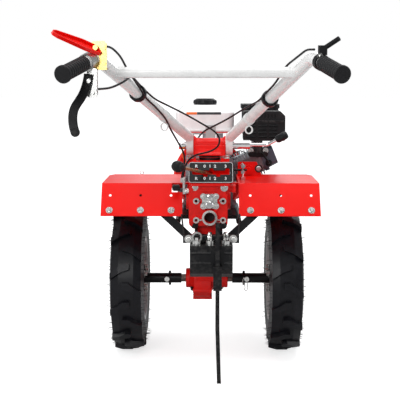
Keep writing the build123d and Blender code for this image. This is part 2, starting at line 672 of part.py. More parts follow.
def hitch_pins():
    # Spring-ring pins: a head that stands on the block and a flat ring through it.
    pins = []
    for x, turn in ((-38, 20), (1, 75), (47, 110)):
        head = Pos(x, pin_y, block_top + 6) * Cylinder(13, 12)
        neck = Pos(x, pin_y, block_top + 16) * Box(9, 9, 10)
        ring = Pos(x, pin_y, block_top + 22) * Rot(Z=turn) * Rot(X=90) * (Cylinder(16, 6) - Cylinder(11, 7))
        pins.append(head + neck + ring)
    return pins


def stake_socket():
    wide, deep = stake_width / 2 + slip_gap, stake_depth / 2 + slip_gap
    outer = block((stake_x - wide - socket_wall, stake_x + wide + socket_wall), (stake_y - deep - socket_wall, stake_y + deep + socket_wall), (socket_low, socket_high), 2)
    bore = block((stake_x - wide, stake_x + wide), (stake_y - deep, stake_y + deep), (socket_low - 1, socket_high + 1))
    return outer - bore


def stake():
    straight = block((stake_x - stake_width / 2, stake_x + stake_width / 2), (stake_y - stake_depth / 2, stake_y + stake_depth / 2), (stake_straight_to, stake_top))
    foot = along_y(Polygon((stake_x - stake_width / 2, stake_straight_to), (stake_x + stake_width / 2, stake_straight_to),
                           (stake_x + stake_lean + stake_width / 2, 0), (stake_x + stake_lean - stake_width / 2, 0), align=None), stake_y + stake_depth / 2, stake_y - stake_depth / 2)
    holes = [rod((stake_x - 20, stake_y, z), (stake_x + 20, stake_y, z), 3) for z in (375, 400, 425, 450)]
    return straight + foot - holes


# Column and handlebar

yaw = Pos(0, column_y, 0) * Rot(Z=bar_yaw) * Pos(0, -column_y, 0)


def column_base():
    plate = along_z(Pos(gearbox_x, column_y) * RectangleRounded(130, 116, 12), gearbox_top, base_top - 8)
    pads = [block((gearbox_x + s * 52 - 13, gearbox_x + s * 52 + 13), (column_y - 54, column_y + 54), (base_top - 9, base_top), 6)
            for s in (-1, 1)]
    disc = Pos(0, column_y, base_top - 4) * Cylinder(pivot_disc_radius, 8)
    return plate + pads + disc


def column_head():
    # A turning foot, a saddle and a barrel across the top that flares to an ear at each end.
    half = head_width / 2
    low = base_top + running_gap + 6
    disc = Pos(0, column_y, base_top + running_gap + 4) * Cylinder(pivot_disc_radius, 8)
    saddle = along_x(outline([(column_y - 36, low), (column_y + 36, low), (column_y + 22, pivot_z), (column_y - 22, pivot_z)], 3), -half + 4, half - 4)
    barrel = turned_x([(-half, 0), (-half, head_ear_radius), (-half + 3, head_ear_radius), (-half + 10, head_radius),
                       (half - 10, head_radius), (half - 3, head_ear_radius), (half, head_ear_radius), (half, 0)], y=column_y, z=pivot_z)
    cheeks = [block((s * (half - 4) - 4, s * (half - 4) + 4), (column_y - 28, column_y + 28), (low, pivot_z), 3, Axis.X) for s in (-1, 1)]
    rib = along_x(Polygon((column_y - 38, low + 4), (column_y - 30, low + 4), (column_y - 24, pivot_z - 6), (column_y - 32, low + 12), align=None), -half + 14, half - 14)
    bore = rod((-100, column_y, pivot_z), (100, column_y, pivot_z), clamp_radius + running_gap)
    return disc + saddle + barrel + cheeks + rib - bore


clamp_end = head_width / 2 + side_gap + lug_width + 54
clamp_bend = (clamp_end + 54, column_y, pivot_z)
clamp_tip = (clamp_end + 94, column_y - 12, pivot_z + 22)


def clamp_bolt():
    reach = head_width / 2 + side_gap + lug_width
    bolt = rod((-reach - bolt_head_reach + 2, column_y, pivot_z), (reach + 2, column_y, pivot_z), clamp_radius)
    head = rod((-reach - bolt_head_reach, column_y, pivot_z), (-reach - side_gap, column_y, pivot_z), bolt_head_radius)
    nut = rod((reach + side_gap, column_y, pivot_z), (clamp_end, column_y, pivot_z), bolt_head_radius - 1)
    lever = piped([(clamp_end - 2, column_y, pivot_z), clamp_bend, clamp_tip], 18, clamp_rod_radius)
    return bolt + head + nut + lever


def clamp_grip():
    a, b = Vector(*clamp_bend), Vector(*clamp_tip)
    line = (b - a).normalized()
    profile = Polygon((0, 0), (9, 0), (12, 6), (12.5, 30), (10, 38), (0, 40), align=None)
    grip = revolve(Plane((0, 0, 0), x_dir=(1, 0, 0), z_dir=(0, -1, 0)) * profile, Axis.Z)
    return Plane(b - line * 14, z_dir=line) * grip - clamp_bolt()


bar_foot = (bar_foot_x, bar_foot_y, bar_foot_z)
bar_corner = (bar_corner_x, bar_corner_y, bar_corner_z)
bar_end = (bar_end_x, bar_end_y, bar_end_z)


def bar_tube():
    solid = piped([bar_foot, bar_corner, bar_end], bar_bend, bar_radius)
    bore = piped([bar_foot, bar_corner, bar_end], bar_bend, bar_radius - 2.5)
    return solid, bore


def bar_arm():
    # The fork's flattened end beside the head, round below its eye so that it turns clear of the column's base.
    inner = head_width / 2 + side_gap
    outer = inner + lug_width
    y0, y1, high = column_y - lug_radius, column_y + lug_radius, pivot_z + 30
    top = [(y0, pivot_z), (y1, pivot_z), (y1, high - 14), (y1 - 16, high), (y0, high)]
    plate = along_x(outline(top, 0), inner, outer) + rod((inner, column_y, pivot_z), (outer, column_y, pivot_z), lug_radius)
    return plate - rod((0, column_y, pivot_z), (120, column_y, pivot_z), clamp_radius + running_gap)


def handlebar():
    tube, hole = bar_tube()
    a, b = Vector(*bar_foot), Vector(*bar_corner)
    p = a + (b - a) * brace_share
    brace = rod((-p.X, p.Y, p.Z), (p.X, p.Y, p.Z), brace_radius)
    inner = head_width / 2 + side_gap
    bolt = rod((-200, column_y, pivot_z), (200, column_y, pivot_z), clamp_radius + running_gap)
    middle = block((-inner, inner), (column_y - 80, column_y + 80), (pivot_z - 80, pivot_z + 80))
    seats = [rod((s * (inner + lug_width), column_y, pivot_z), (s * 200, column_y, pivot_z), bolt_head_radius + slip_gap) for s in (-1, 1)]
    arm = bar_arm()
    solid = arm + tube + mirrored(arm) + mirrored(tube) + brace - hole - mirrored(hole) - middle - bolt - seats
    return yaw * solid


def grip_frame():
    a, b = Vector(*bar_corner), Vector(*bar_end)
    d = (b - a).normalized()
    return Plane(b + d * 4, z_dir=-d), d


def grip(side):
    plane, _ = grip_frame()
    profile = [(0, 0), (grip_flange_radius - 2, 0), (grip_flange_radius, 2), (grip_flange_radius, 8), (grip_radius, 11)]
    for i in range(grip_ribs):
        z = 14 + i * grip_rib_pitch
        profile += [(grip_radius, z), (grip_radius - 1.6, z + 1.5), (grip_radius - 1.6, z + 3), (grip_radius, z + 4.5)]
    profile += [(grip_radius, grip_length - 3), (grip_radius - 1.5, grip_length), (0, grip_length)]
    body = revolve(Plane((0, 0, 0), x_dir=(1, 0, 0), z_dir=(0, -1, 0)) * Polygon(*profile, align=None), Axis.Z)
    bore = Pos(0, 0, 4 + grip_length / 2) * Cylinder(bar_radius + running_gap, grip_length)
    piece = plane * (body - bore)
    if side == "left":
        piece = mirrored(piece)
    return yaw * piece


def lever_centre():
    # The middle of the left tube where both lever brackets are clamped.
    plane, d = grip_frame()
    return Vector(-plane.origin.X, plane.origin.Y, plane.origin.Z) + Vector(d.X, -d.Y, -d.Z) * (grip_length + 20)


def hand_lever_bracket():
    plane, _ = grip_frame()
    clamp = Pos(0, 0, grip_length + 20) * (Cylinder(bar_radius + 5, 26) - Cylinder(bar_radius + running_gap, 30))
    c = lever_centre()
    web = block((c.X - 2, c.X + 22), (c.Y - 3, c.Y + 2), (c.Z - 86, c.Z - bar_radius), 5, Axis.Y)
    flange = block((c.X + 19, c.X + 22), (c.Y - 3, c.Y + 16), (c.Z - 80, c.Z - bar_radius - 2))
    pin = rod((c.X + 4, c.Y - 18, c.Z - 46), (c.X + 4, c.Y + 6, c.Z - 46), 5)
    stop = rod((c.X + 12, c.Y - 9, c.Z - 76), (c.X + 12, c.Y + 2, c.Z - 76), 4)
    tube, _ = bar_tube()
    return yaw * (mirrored(plane * clamp) + web + flange + pin + stop - mirrored(tube))


def hand_lever():
    # The blade curls out from its pivot and hangs below the grip, rounded at its tip.
    c = lever_centre()
    path = Spline(*[(c.X + x, c.Y + y, c.Z + z) for x, y, z in
                    ((3, -10, -30), (-2, -13, -56), (-13, -26, -86), (-28, -38, -112), (-31, -48, -138), (-24, -58, -168))])
    blade = sweep(Plane(path @ 0, x_dir=(1, 0, 0), z_dir=path % 0) * RectangleRounded(22, 7, 2.5), path=path)
    tip = path @ 1
    end = rod((tip.X, tip.Y - 3, tip.Z), (tip.X, tip.Y + 3, tip.Z), 11)
    pin = rod((c.X + 4, c.Y - 40, c.Z - 46), (c.X + 4, c.Y + 10, c.Z - 46), 5 + running_gap)
    return yaw * (blade + end - pin - block((c.X - 30, c.X + 30), (c.Y - 3 - running_gap, c.Y + 30), (c.Z - 90, c.Z)))


def clutch_bracket():
    c = lever_centre()
    y, z = c.Y + 28, c.Z
    plate = block((c.X + 6, c.X + 43), (y - 2.5, y + 2.5), (z - 20, z + 50), 7, Axis.Y)
    shelf = block((c.X - 6, c.X + 43), (y - 2.5, y + 26), (z - 20, z - 15))
    pivot = rod((c.X + 17, y - 16, z + 34), (c.X + 17, y + 6, z + 34), 6)
    bolts = [rod((c.X + 36, y - 7, z + dz), (c.X + 36, y + 5, z + dz), 5) for dz in (-4, 32)]
    tube, _ = bar_tube()
    return yaw * (plate + shelf + pivot + bolts - mirrored(tube))


def clutch_lever():
    # A pressed tray that widens from its tip to the pivot, its rim turned up along both sides.
    c = lever_centre()
    heel = Vector(c.X + 24, c.Y + 17, c.Z + 31)
    tip = Vector(c.X - 70, c.Y - 70, c.Z + 71)
    plane = Plane(heel, x_dir=tip - heel, z_dir=Vector(-0.25, -0.72, 0.65).cross(tip - heel).cross(tip - heel) * -1)
    length = (tip - heel).length
    shape = outline([(-4, -15), (-4, 15), (40, 19), (length - 12, 11), (length, 5), (length, -5), (length - 12, -11), (40, -19)], 4)
    hollow = offset(shape, -2.4)
    tray = extrude(plane * shape, amount=9) - extrude(plane.offset(2.4) * hollow, amount=9)
    return yaw * (tray - rod((c.X + 17, c.Y - 40, c.Z + 34), (c.X + 17, c.Y + 60, c.Z + 34), 6 + running_gap) - block((c.X - 12, c.X + 50), (c.Y + 25.2, c.Y + 40), (c.Z - 30, c.Z + 60)))


def throttle_lever():
    plane, d = grip_frame()
    clamp = Pos(0, 0, grip_length + 12) * (Cylinder(bar_radius + 4, 16) - Cylinder(bar_radius + running_gap, 20))
    c = plane.origin - d * (grip_length + 12)
    post = block((c.X - 8, c.X + 14), (c.Y - 8, c.Y + 8), (c.Z + bar_radius + 1, c.Z + 40), 4)
    thumb = rod((c.X + 8, c.Y, c.Z + 34), (c.X + 40, c.Y - 20, c.Z + 56), 6)
    tube, _ = bar_tube()
    return yaw * (plane * clamp + post + thumb - tube)


# Control cables

def cable_radii(points):
    # Each rounding is as large as the two runs beside its corner allow.
    corners = [Vector(*p) for p in points]
    radii = []
    for before, corner, after in zip(corners, corners[1:], corners[2:]):
        first, second = corner - before, after - corner
        turn = radians(first.get_angle(second))
        radii.append(0.45 * min(first.length, second.length) / tan(turn / 2))
    return radii


def cable(name, points, radius=cable_radius):
    radii = cable_radii(points)
    path = FilletPolyline(*points, radius=radii)
    tube = sweep(Plane(path @ 0, z_dir=path % 0) * Circle(radius), path=path)
    section = tube.volume / path.length / (pi * radius ** 2)
    print(name, "length", round(path.length), "tightest", round(min(radii)), "volume share", round(section, 4))
    return tube


def parted(points, index):
    # Two routes that meet halfway along the run after this point.
    meeting = (Vector(*points[index]) + Vector(*points[index + 1])) / 2
    step = (Vector(*points[index + 1]) - Vector(*points[index])).normalized() * (cable_parting / 2)
    return points[:index + 1] + [tuple(meeting - step)], [tuple(meeting + step)] + points[index + 1:]


brake_route = [(-255, -822, 871), (-234, -752, 872), (-206, -682, 888), (-196, -611, 903), (-176, -521, 869.5),
               (-149, -431, 836), (-94, -335, 803), (-52, -268, 777), (-14, -232, 752), (16, -214, 734), (33, -205, 712),
               (30, -199, 686), (6, -196, 670), (-22, -193, 663), (-46, -189, 657), (-66, -187, 640), (-76, -190, 617), (-80, -192, 591)]
brake_hold = 5
brake_adjuster = 12
clutch_route = [(-250, -795, 975), (-232, -757, 974), (-214, -712, 953), (-200, -655, 914), (-180, -592, 876),
                (-165, -526, 840), (-141, -450, 811), (-120, -372, 776), (-113, -300, 745), (-94, -250, 704),
                (-78, -226, 672), (-73, -216, 648), (-79, -217, 618), (-83, -218, 591)]
clutch_hold = 8
throttle_route = [(267, -820, 966), (252, -778, 967), (230, -722, 947), (207, -662, 927), (184, -592, 882), (164, -527, 858), (144, -462, 832),
                  (104, -352, 806), (62, -265, 775), (18, -200, 749), (-16, -143, 730), (-37, -92, 706), (-46, -38, 684),
                  (-38, 20, 676), (-22, 66, 682), (-16, 103, 690)]
throttle_hold = 6


held_routes = (("brake", brake_route, brake_hold), ("clutch", clutch_route, clutch_hold),
               ("throttle", throttle_route, throttle_hold))


def held_cables():
    pieces = []
    for name, route, hold in held_routes:
        held, _ = parted(route, hold)
        pieces.append(yaw * cable(name + " held", held))
    return pieces


def cable_loops():
    # The stretches between the handlebar and the machine, slack enough for the handlebar to swing.
    pieces = []
    for name, route, hold in held_routes:
        _, slack = parted(route, hold)
        tube = cable(name + " slack", slack)
        if name == "brake":
            a, b = Vector(*route[brake_adjuster]), Vector(*route[brake_adjuster + 1])
            tube += rod(tuple(a + (b - a) * 0.05), tuple(a + (b - a) * 0.95), adjuster_radius)
        pieces.append(yaw * tube)
    return pieces


def guide_ring(centre, turn):
    ring = Cylinder(guide_radius, guide_sheet) - Cylinder(guide_radius - 3, guide_sheet + 2)
    return Pos(*centre) * Rot(Z=turn) * Rot(X=90) * ring


def bar_band(share, side, thick):
    # A band round one tube, at a share of the way from its foot to its bend.
    a, b = Vector(*bar_foot), Vector(*bar_corner)
    line, middle = (b - a).normalized(), a + (b - a) * share
    place = Plane((middle.X * side, middle.Y, middle.Z), z_dir=(line.X * side, line.Y, line.Z))
    band = Cylinder(bar_radius + thick, strap_width) - Cylinder(bar_radius + slip_gap / 2, strap_width + 2)
    return place * band, Vector(middle.X * side, middle.Y, middle.Z)


def cable_straps():
    # A rubber strap round each tube and the cables that lie on it.
    routes = [cable(name + " in its strap", route[:hold + 2], cable_radius + 0.1) for name, route, hold in held_routes]
    return [yaw * (bar_band(share, side, 2 * cable_radius + 2)[0] - routes) for share, side in ((0.62, -1), (0.56, 1))]


def cable_guides():
    # A thin band with a wire ring below it on each tube, notched where a cable leans on it.
    pieces = []
    cables = held_cables()
    for share, side in ((0.34, -1), (0.30, 1)):
        band, middle = bar_band(share, side, 2)
        hang = middle - Vector(0, 0, bar_radius + guide_radius + 3)
        pieces.append(yaw * (band + guide_ring(tuple(hang), 25 * side)) - cables)
    return pieces


def release_arms():
    # The two arms on the gearbox's left wall that the clutch and brake cables pull.
    wall = gearbox_x - gearbox_width / 2
    arms = []
    for route, out in ((clutch_route, 19), (brake_route, 18)):
        end = route[-1]
        top = end[2] - cable_parting
        shaft = rod((wall, end[1], top - 42), (wall - out, end[1], top - 42), 7)
        arm = block((wall - out, wall - out + 6), (end[1] - 8, end[1] + 8), (top - 50, top), 3, Axis.X)
        head = block((end[0] - 6, end[0] + 6), (end[1] - 6, end[1] + 6), (top - 14, top))
        arms.append(shaft + arm + head - gearbox())
    return arms


def side_guard():
    # The upright plate that stands on the right fender beside the engine, with its pivot boss.
    low = fender_shift + fender_inner + 3
    face = outline([(low, fender_top), (low + 80, fender_top), (low + 62, fender_top + 47), (low, fender_top + 47)], 4)
    plate = along_y(face, guard_y + fender_sheet, guard_y)
    boss = rod((low + 36, guard_y + 1, fender_top + 22), (low + 36, guard_y - 6, fender_top + 22), 15)
    nut = rod((low + 36, guard_y - 5, fender_top + 22), (low + 36, guard_y - 14, fender_top + 22), 8)
    foot = block((low, low + 70), (guard_y, guard_y + 20), (fender_top, fender_top + fender_sheet))
    return plate + boss + nut + foot


# Assembly

nodes = {
    "tyre_left": tyre("left"), "tyre_right": tyre("right"),
    "rim_left": rim("left"), "rim_right": rim("right"),
    "hub_left": hub("left"), "hub_right": hub("right"),
    "axle_shaft": axle_shaft(),
    "final_drive": final_drive(),
    "gearbox": gearbox(), "detent_flange": detent_flange(),
    "shift_cover": shift_cover(), "gate_plate": gate_plate(), "gear_lever": gear_lever(), "gear_knob": gear_knob(),
    "clutch_housing": clutch_housing(), "engine_block": engine_block(), "rocker_cover": rocker_cover(),
    "fan_housing": fan_housing(), "recoil_starter": recoil_starter(),
    "fuel_tank": fuel_tank(), "tank_cap": tank_cap(), "tank_stand": tank_stand(),
    "muffler": muffler(), "exhaust_pipe": exhaust_pipe(), "air_cleaner": air_cleaner(), "carburettor": carburettor(),
    "engine_frame": engine_frame(), "bumper": bumper(), "front_stand": front_stand(),
    "fender_left": fender("left"), "fender_right": fender("right"),
    "strut_left": strut("left"), "strut_right": strut("right"),
    "hitch_frame": hitch_frame(), "hitch_block": hitch_block(), "hitch_pins": hitch_pins(),
    "stake_socket": stake_socket(), "stake": stake(),
    "column_base": column_base(), "column_head": yaw * column_head(), "clamp_bolt": yaw * clamp_bolt(), "clamp_grip": yaw * clamp_grip(),
    "handlebar": handlebar(),
    "grip_left": grip("left"), "grip_right": grip("right"),
    "hand_lever_bracket": hand_lever_bracket(), "hand_lever": hand_lever(),
    "clutch_bracket": clutch_bracket(), "clutch_lever": clutch_lever(), "throttle_lever": throttle_lever(),
    "held_cables": held_cables(), "cable_loops": cable_loops(), "cable_straps": cable_straps(),
    "cable_guides": cable_guides(),     "release_arms": release_arms(), "side_guard": side_guard(),
}


def gathered(shape):
    pieces = shape if isinstance(shape, list) else [shape]
    return Compound([solid for piece in pieces for solid in piece.solids()])


nodes = {name: gathered(shape) for name, shape in nodes.items()}
whole = Compound([solid for node in nodes.values() for solid in node.solids()]).bounding_box()
origin = Vector((whole.min.X + whole.max.X) / 2, (whole.min.Y + whole.max.Y) / 2, whole.min.Z)
os.makedirs("parts", exist_ok=True)
for name, node in nodes.items():
    export_step(Pos(-origin.X, -origin.Y, -origin.Z) * node, f"parts/{name}.step")
print("origin", origin, "size", whole.size)
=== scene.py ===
import bpy
import bmesh
import math
import random
from mathutils import Matrix, Vector


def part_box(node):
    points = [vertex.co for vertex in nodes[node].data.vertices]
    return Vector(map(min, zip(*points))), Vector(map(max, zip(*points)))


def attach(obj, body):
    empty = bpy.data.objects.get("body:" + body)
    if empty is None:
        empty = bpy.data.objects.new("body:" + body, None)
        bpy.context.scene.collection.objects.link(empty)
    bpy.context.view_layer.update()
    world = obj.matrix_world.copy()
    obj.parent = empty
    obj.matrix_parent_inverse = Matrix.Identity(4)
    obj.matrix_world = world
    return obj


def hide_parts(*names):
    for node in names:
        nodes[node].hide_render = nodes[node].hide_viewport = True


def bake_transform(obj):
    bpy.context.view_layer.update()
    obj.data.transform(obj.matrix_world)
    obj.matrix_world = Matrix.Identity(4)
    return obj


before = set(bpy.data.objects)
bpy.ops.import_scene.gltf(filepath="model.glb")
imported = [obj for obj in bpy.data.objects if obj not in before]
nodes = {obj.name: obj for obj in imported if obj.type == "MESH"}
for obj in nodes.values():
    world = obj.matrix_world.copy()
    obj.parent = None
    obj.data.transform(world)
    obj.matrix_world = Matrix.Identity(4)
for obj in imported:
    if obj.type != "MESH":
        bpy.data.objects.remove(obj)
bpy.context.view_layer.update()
print("frame loaded")

# Places are read in millimetres from the machine's middle plane, the wheels' axle and the floor
tyreLow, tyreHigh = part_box("tyre_left")
axleShift = 0.009                 # the wheels sit this far left of the middle plane
zeroX = (tyreLow.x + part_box("tyre_right")[1].x) / 2 + axleShift
zeroY = (tyreLow.y + tyreHigh.y) / 2
axleZ = (tyreLow.z + tyreHigh.z) / 2
barYaw = math.radians(-1.25)      # the handlebar stands a little off straight
columnY = -120.0
pivotZ = 685.0
forward = Vector((0, 1, 0))
toRear = Vector((0, -1, 0))
down = Vector((0, 0, -1))


def at(x, y, z):
    return Vector((zeroX + x / 1000, zeroY + y / 1000, z / 1000))


def onBar(x, y, z):
    # the same, turned about the column with the handlebar
    dy = y - columnY
    cos, sin = math.cos(barYaw), math.sin(barYaw)
    return at(x * cos - dy * sin, columnY + x * sin + dy * cos, z)


# Shader groups that several finishes share


def newGroup(name, inputs, outputs):
    group = bpy.data.node_groups.new(name, "ShaderNodeTree")
    for label, value in inputs:
        socket = group.interface.new_socket(name=label, in_out="INPUT", socket_type="NodeSocketFloat")
        socket.default_value = value
    for label in outputs:
        group.interface.new_socket(name=label, in_out="OUTPUT", socket_type="NodeSocketFloat")
    inNode = group.nodes.new("NodeGroupInput")
    outNode = group.nodes.new("NodeGroupOutput")
    return group, inNode, outNode


def noise(tree, scale, detail=4.0, rough=0.55):
    node = tree.nodes.new("ShaderNodeTexNoise")
    node.inputs["Detail"].default_value = detail
    node.inputs["Roughness"].default_value = rough
    if isinstance(scale, (int, float)):
        node.inputs["Scale"].default_value = scale
    else:
        tree.links.new(scale, node.inputs["Scale"])
    tree.links.new(places(tree), node.inputs["Vector"])
    return node.outputs["Fac"]


def places(tree):
    node = tree.nodes.get("places") or tree.nodes.new("ShaderNodeTexCoord")
    node.name = "places"
    return node.outputs["Object"]


def ramp(tree, value, low, high):
    node = tree.nodes.new("ShaderNodeMapRange")
    node.interpolation_type = "SMOOTHSTEP"
    node.inputs["From Min"].default_value = low
    node.inputs["From Max"].default_value = high
    tree.links.new(value, node.inputs["Value"])
    return node.outputs["Result"]


def maths(tree, kind, a, b):
    node = tree.nodes.new("ShaderNodeMath")
    node.operation = kind
    for socket, value in zip(node.inputs, (a, b)):
        if isinstance(value, (int, float)):
            socket.default_value = value
        else:
            tree.links.new(value, socket)
    return node.outputs[0]


def buildGrain():
    # fine surface grain with a slower waviness under it
    group, inNode, outNode = newGroup("surfaceGrain", [("Scale", 900.0), ("Wave", 40.0)], ["Height", "Shade"])
    fine = noise(group, inNode.outputs["Scale"], 3.0)
    slow = noise(group, inNode.outputs["Wave"], 2.0)
    mixed = maths(group, "ADD", maths(group, "MULTIPLY", fine, 0.6), maths(group, "MULTIPLY", slow, 0.4))
    group.links.new(mixed, outNode.inputs["Height"])
    group.links.new(slow, outNode.inputs["Shade"])
    return group


def buildEdgeWear():
    # rubbed corners, broken up by noise
    group, inNode, outNode = newGroup("edgeWear", [("Amount", 0.5), ("Scale", 120.0)], ["Mask"])
    geometry = group.nodes.new("ShaderNodeNewGeometry")
    edge = ramp(group, geometry.outputs["Pointiness"], 0.53, 0.60)
    broken = ramp(group, noise(group, inNode.outputs["Scale"], 6.0), 0.42, 0.62)
    worn = maths(group, "MULTIPLY", maths(group, "MULTIPLY", edge, broken), inNode.outputs["Amount"])
    group.links.new(worn, outNode.inputs["Mask"])
    return group


def buildDust():
    # pale dust on what faces up, thicker in patches
    group, inNode, outNode = newGroup("settledDust", [("Amount", 0.3), ("Scale", 18.0)], ["Mask"])
    geometry = group.nodes.new("ShaderNodeNewGeometry")
    split = group.nodes.new("ShaderNodeSeparateXYZ")
    group.links.new(geometry.outputs["Normal"], split.inputs[0])
    upward = ramp(group, split.outputs["Z"], 0.1, 1.0)
    patchy = ramp(group, noise(group, inNode.outputs["Scale"], 6.0, 0.7), 0.35, 0.75)
    dusty = maths(group, "MULTIPLY", maths(group, "MULTIPLY", upward, patchy), inNode.outputs["Amount"])
    group.links.new(dusty, outNode.inputs["Mask"])
    return group


grainGroup = buildGrain()
wearGroup = buildEdgeWear()
dustGroup = buildDust()


def useGroup(tree, group, **values):
    node = tree.nodes.new("ShaderNodeGroup")
    node.node_tree = group
    for label, value in values.items():
        node.inputs[label].default_value = value
    return node


def blendColour(tree, mask, under, over):
    node = tree.nodes.new("ShaderNodeMix")
    node.data_type = "RGBA"
    tree.links.new(mask, node.inputs["Factor"])
    for socket, value in ((node.inputs["A"], under), (node.inputs["B"], over)):
        if isinstance(value, tuple):
            socket.default_value = (*value, 1)
        else:
            tree.links.new(value, socket)
    return node.outputs["Result"]


def makeFinish(name, look):
    material = bpy.data.materials.new(name)
    material.use_nodes = True
    tree = material.node_tree
    shader = tree.nodes["Principled BSDF"]
    grain = useGroup(tree, grainGroup, Scale=look.get("grainScale", 900.0), Wave=look.get("waveScale", 40.0))
    shade = look.get("shade", 0.12)
    darker = tuple(c * (1 - shade) for c in look["colour"])
    lighter = tuple(min(1.0, c * (1 + shade)) for c in look["colour"])
    colour = blendColour(tree, ramp(tree, grain.outputs["Shade"], 0.3, 0.7), darker, lighter)
    rough = look["rough"]
    spread = look.get("roughSpread", 0.08)
    roughness = tree.nodes.new("ShaderNodeMapRange")
    roughness.inputs["From Min"].default_value = 0.3
    roughness.inputs["From Max"].default_value = 0.7
    roughness.inputs["To Min"].default_value = max(0.02, rough - spread)
    roughness.inputs["To Max"].default_value = min(1.0, rough + spread)
    tree.links.new(grain.outputs["Height"], roughness.inputs["Value"])
    shader.inputs["Metallic"].default_value = look.get("metal", 0.0)
    if "wear" in look:
        worn = useGroup(tree, wearGroup, Amount=look["wear"], Scale=look.get("wearScale", 120.0))
        colour = blendColour(tree, worn.outputs["Mask"], colour, look.get("wearColour", (0.35, 0.33, 0.31)))
    if "dust" in look:
        dusty = useGroup(tree, dustGroup, Amount=look["dust"], Scale=look.get("dustScale", 18.0))
        colour = blendColour(tree, dusty.outputs["Mask"], colour, look.get("dustColour", (0.62, 0.56, 0.48)))
    tree.links.new(colour, shader.inputs["Base Color"])
    tree.links.new(roughness.outputs["Result"], shader.inputs["Roughness"])
    shader.inputs["Specular IOR Level"].default_value = look.get("shine", 0.5)
    shader.inputs["Coat Weight"].default_value = look.get("coat", 0.0)
    shader.inputs["Coat Roughness"].default_value = look.get("coatRough", 0.08)
    bump = tree.nodes.new("ShaderNodeBump")
    bump.inputs["Strength"].default_value = look.get("bump", 0.15)
    bump.inputs["Distance"].default_value = look.get("bumpDepth", 0.0006)
    tree.links.new(grain.outputs["Height"], bump.inputs["Height"])
    tree.links.new(bump.outputs["Normal"], shader.inputs["Normal"])
    return material


finishes = {
    "redPaint": dict(colour=(0.78, 0.003, 0.0005), rough=0.34, coat=0.08, shine=0.22, grainScale=350,
                     waveScale=9, bump=0.02, shade=0.02),
    "redCasting": dict(colour=(0.68, 0.004, 0.001), rough=0.42, coat=0.08, shine=0.25, grainScale=700,
                       waveScale=60, bump=0.25, bumpDepth=0.0006, shade=0.08),
    "whitePaint": dict(colour=(0.80, 0.80, 0.79), rough=0.28, coat=0.25, grainScale=300, bump=0.05,
                       shade=0.02, wear=0.15, wearColour=(0.40, 0.38, 0.36)),
    "tankPlastic": dict(colour=(0.84, 0.84, 0.84), rough=0.34, coat=0.2, grainScale=600, bump=0.06,
                        shade=0.03),
    "blackPaint": dict(colour=(0.004, 0.004, 0.005), rough=0.34, coat=0.02, shine=0.2, grainScale=500,
                       waveScale=30, bump=0.08, shade=0.08, wear=0.12, wearColour=(0.16, 0.15, 0.14)),
    "heatBlack": dict(colour=(0.006, 0.006, 0.007), rough=0.50, shine=0.25, grainScale=1200, bump=0.35,
                      shade=0.2, wear=0.2, wearColour=(0.12, 0.11, 0.10)),
    "mouldedBlack": dict(colour=(0.006, 0.006, 0.007), rough=0.42, shine=0.22, grainScale=1500, bump=0.25,
                         bumpDepth=0.0004, shade=0.15),
    "gripRubber": dict(colour=(0.007, 0.007, 0.008), rough=0.55, shine=0.25, grainScale=1800, bump=0.4,
                       bumpDepth=0.0005, shade=0.2),
    "tyreRubber": dict(colour=(0.004, 0.004, 0.006), rough=0.40, shine=0.22, grainScale=800, waveScale=70,
                       bump=0.3, shade=0.25, coat=0.03, dust=0.03, dustColour=(0.08, 0.07, 0.06)),
    "zinc": dict(colour=(0.66, 0.66, 0.64), rough=0.26, metal=1.0, grainScale=500, waveScale=120, bump=0.12,
                 shade=0.12),
    "yellowZinc": dict(colour=(0.78, 0.58, 0.20), rough=0.28, metal=1.0, grainScale=400, waveScale=90,
                       bump=0.10, shade=0.18),
    "darkSteel": dict(colour=(0.20, 0.17, 0.15), rough=0.42, metal=1.0, grainScale=700, waveScale=80,
                      bump=0.3, shade=0.3),
    "castAlloy": dict(colour=(0.26, 0.27, 0.29), rough=0.46, metal=0.8, grainScale=1400, waveScale=90,
                      bump=0.4, shade=0.15),
    "coverBlue": dict(colour=(0.075, 0.095, 0.125), rough=0.42, metal=0.3, grainScale=900, bump=0.25,
                      shade=0.12),
    "brassRod": dict(colour=(0.42, 0.27, 0.14), rough=0.30, metal=1.0, grainScale=400, waveScale=150,
                     bump=0.1, shade=0.2),
    "rimGrey": dict(colour=(0.50, 0.50, 0.50), rough=0.40, coat=0.2, grainScale=500, bump=0.10, shade=0.05),
    "chrome": dict(colour=(0.80, 0.80, 0.80), rough=0.12, metal=1.0, grainScale=300, bump=0.03, shade=0.05),
    # boreShade: near-black painted shade for the floors of the bores
    "boreShade": dict(colour=(0.005, 0.005, 0.005), rough=0.7, grainScale=600, bump=0.1),
    "gateWhite": dict(colour=(0.70, 0.70, 0.70), rough=0.5, grainScale=900, bump=0.05, shade=0.03),
    "sheath": dict(colour=(0.006, 0.006, 0.007), rough=0.36, shine=0.22, grainScale=1500, bump=0.15,
                   shade=0.1),
    "stripeOrange": dict(colour=(0.78, 0.13, 0.012), rough=0.4, grainScale=900, bump=0.05, shade=0.05),
    "stripeDark": dict(colour=(0.020, 0.020, 0.024), rough=0.4, grainScale=900, bump=0.05, shade=0.05),
    "greyPaint": dict(colour=(0.42, 0.42, 0.42), rough=0.40, grainScale=900, bump=0.10, shade=0.06),
    "wireYellow": dict(colour=(0.75, 0.52, 0.03), rough=0.4, grainScale=900, bump=0.05, shade=0.05),
}
made = {name: makeFinish(name, look) for name, look in finishes.items()}
print("finishes made:", len(made))

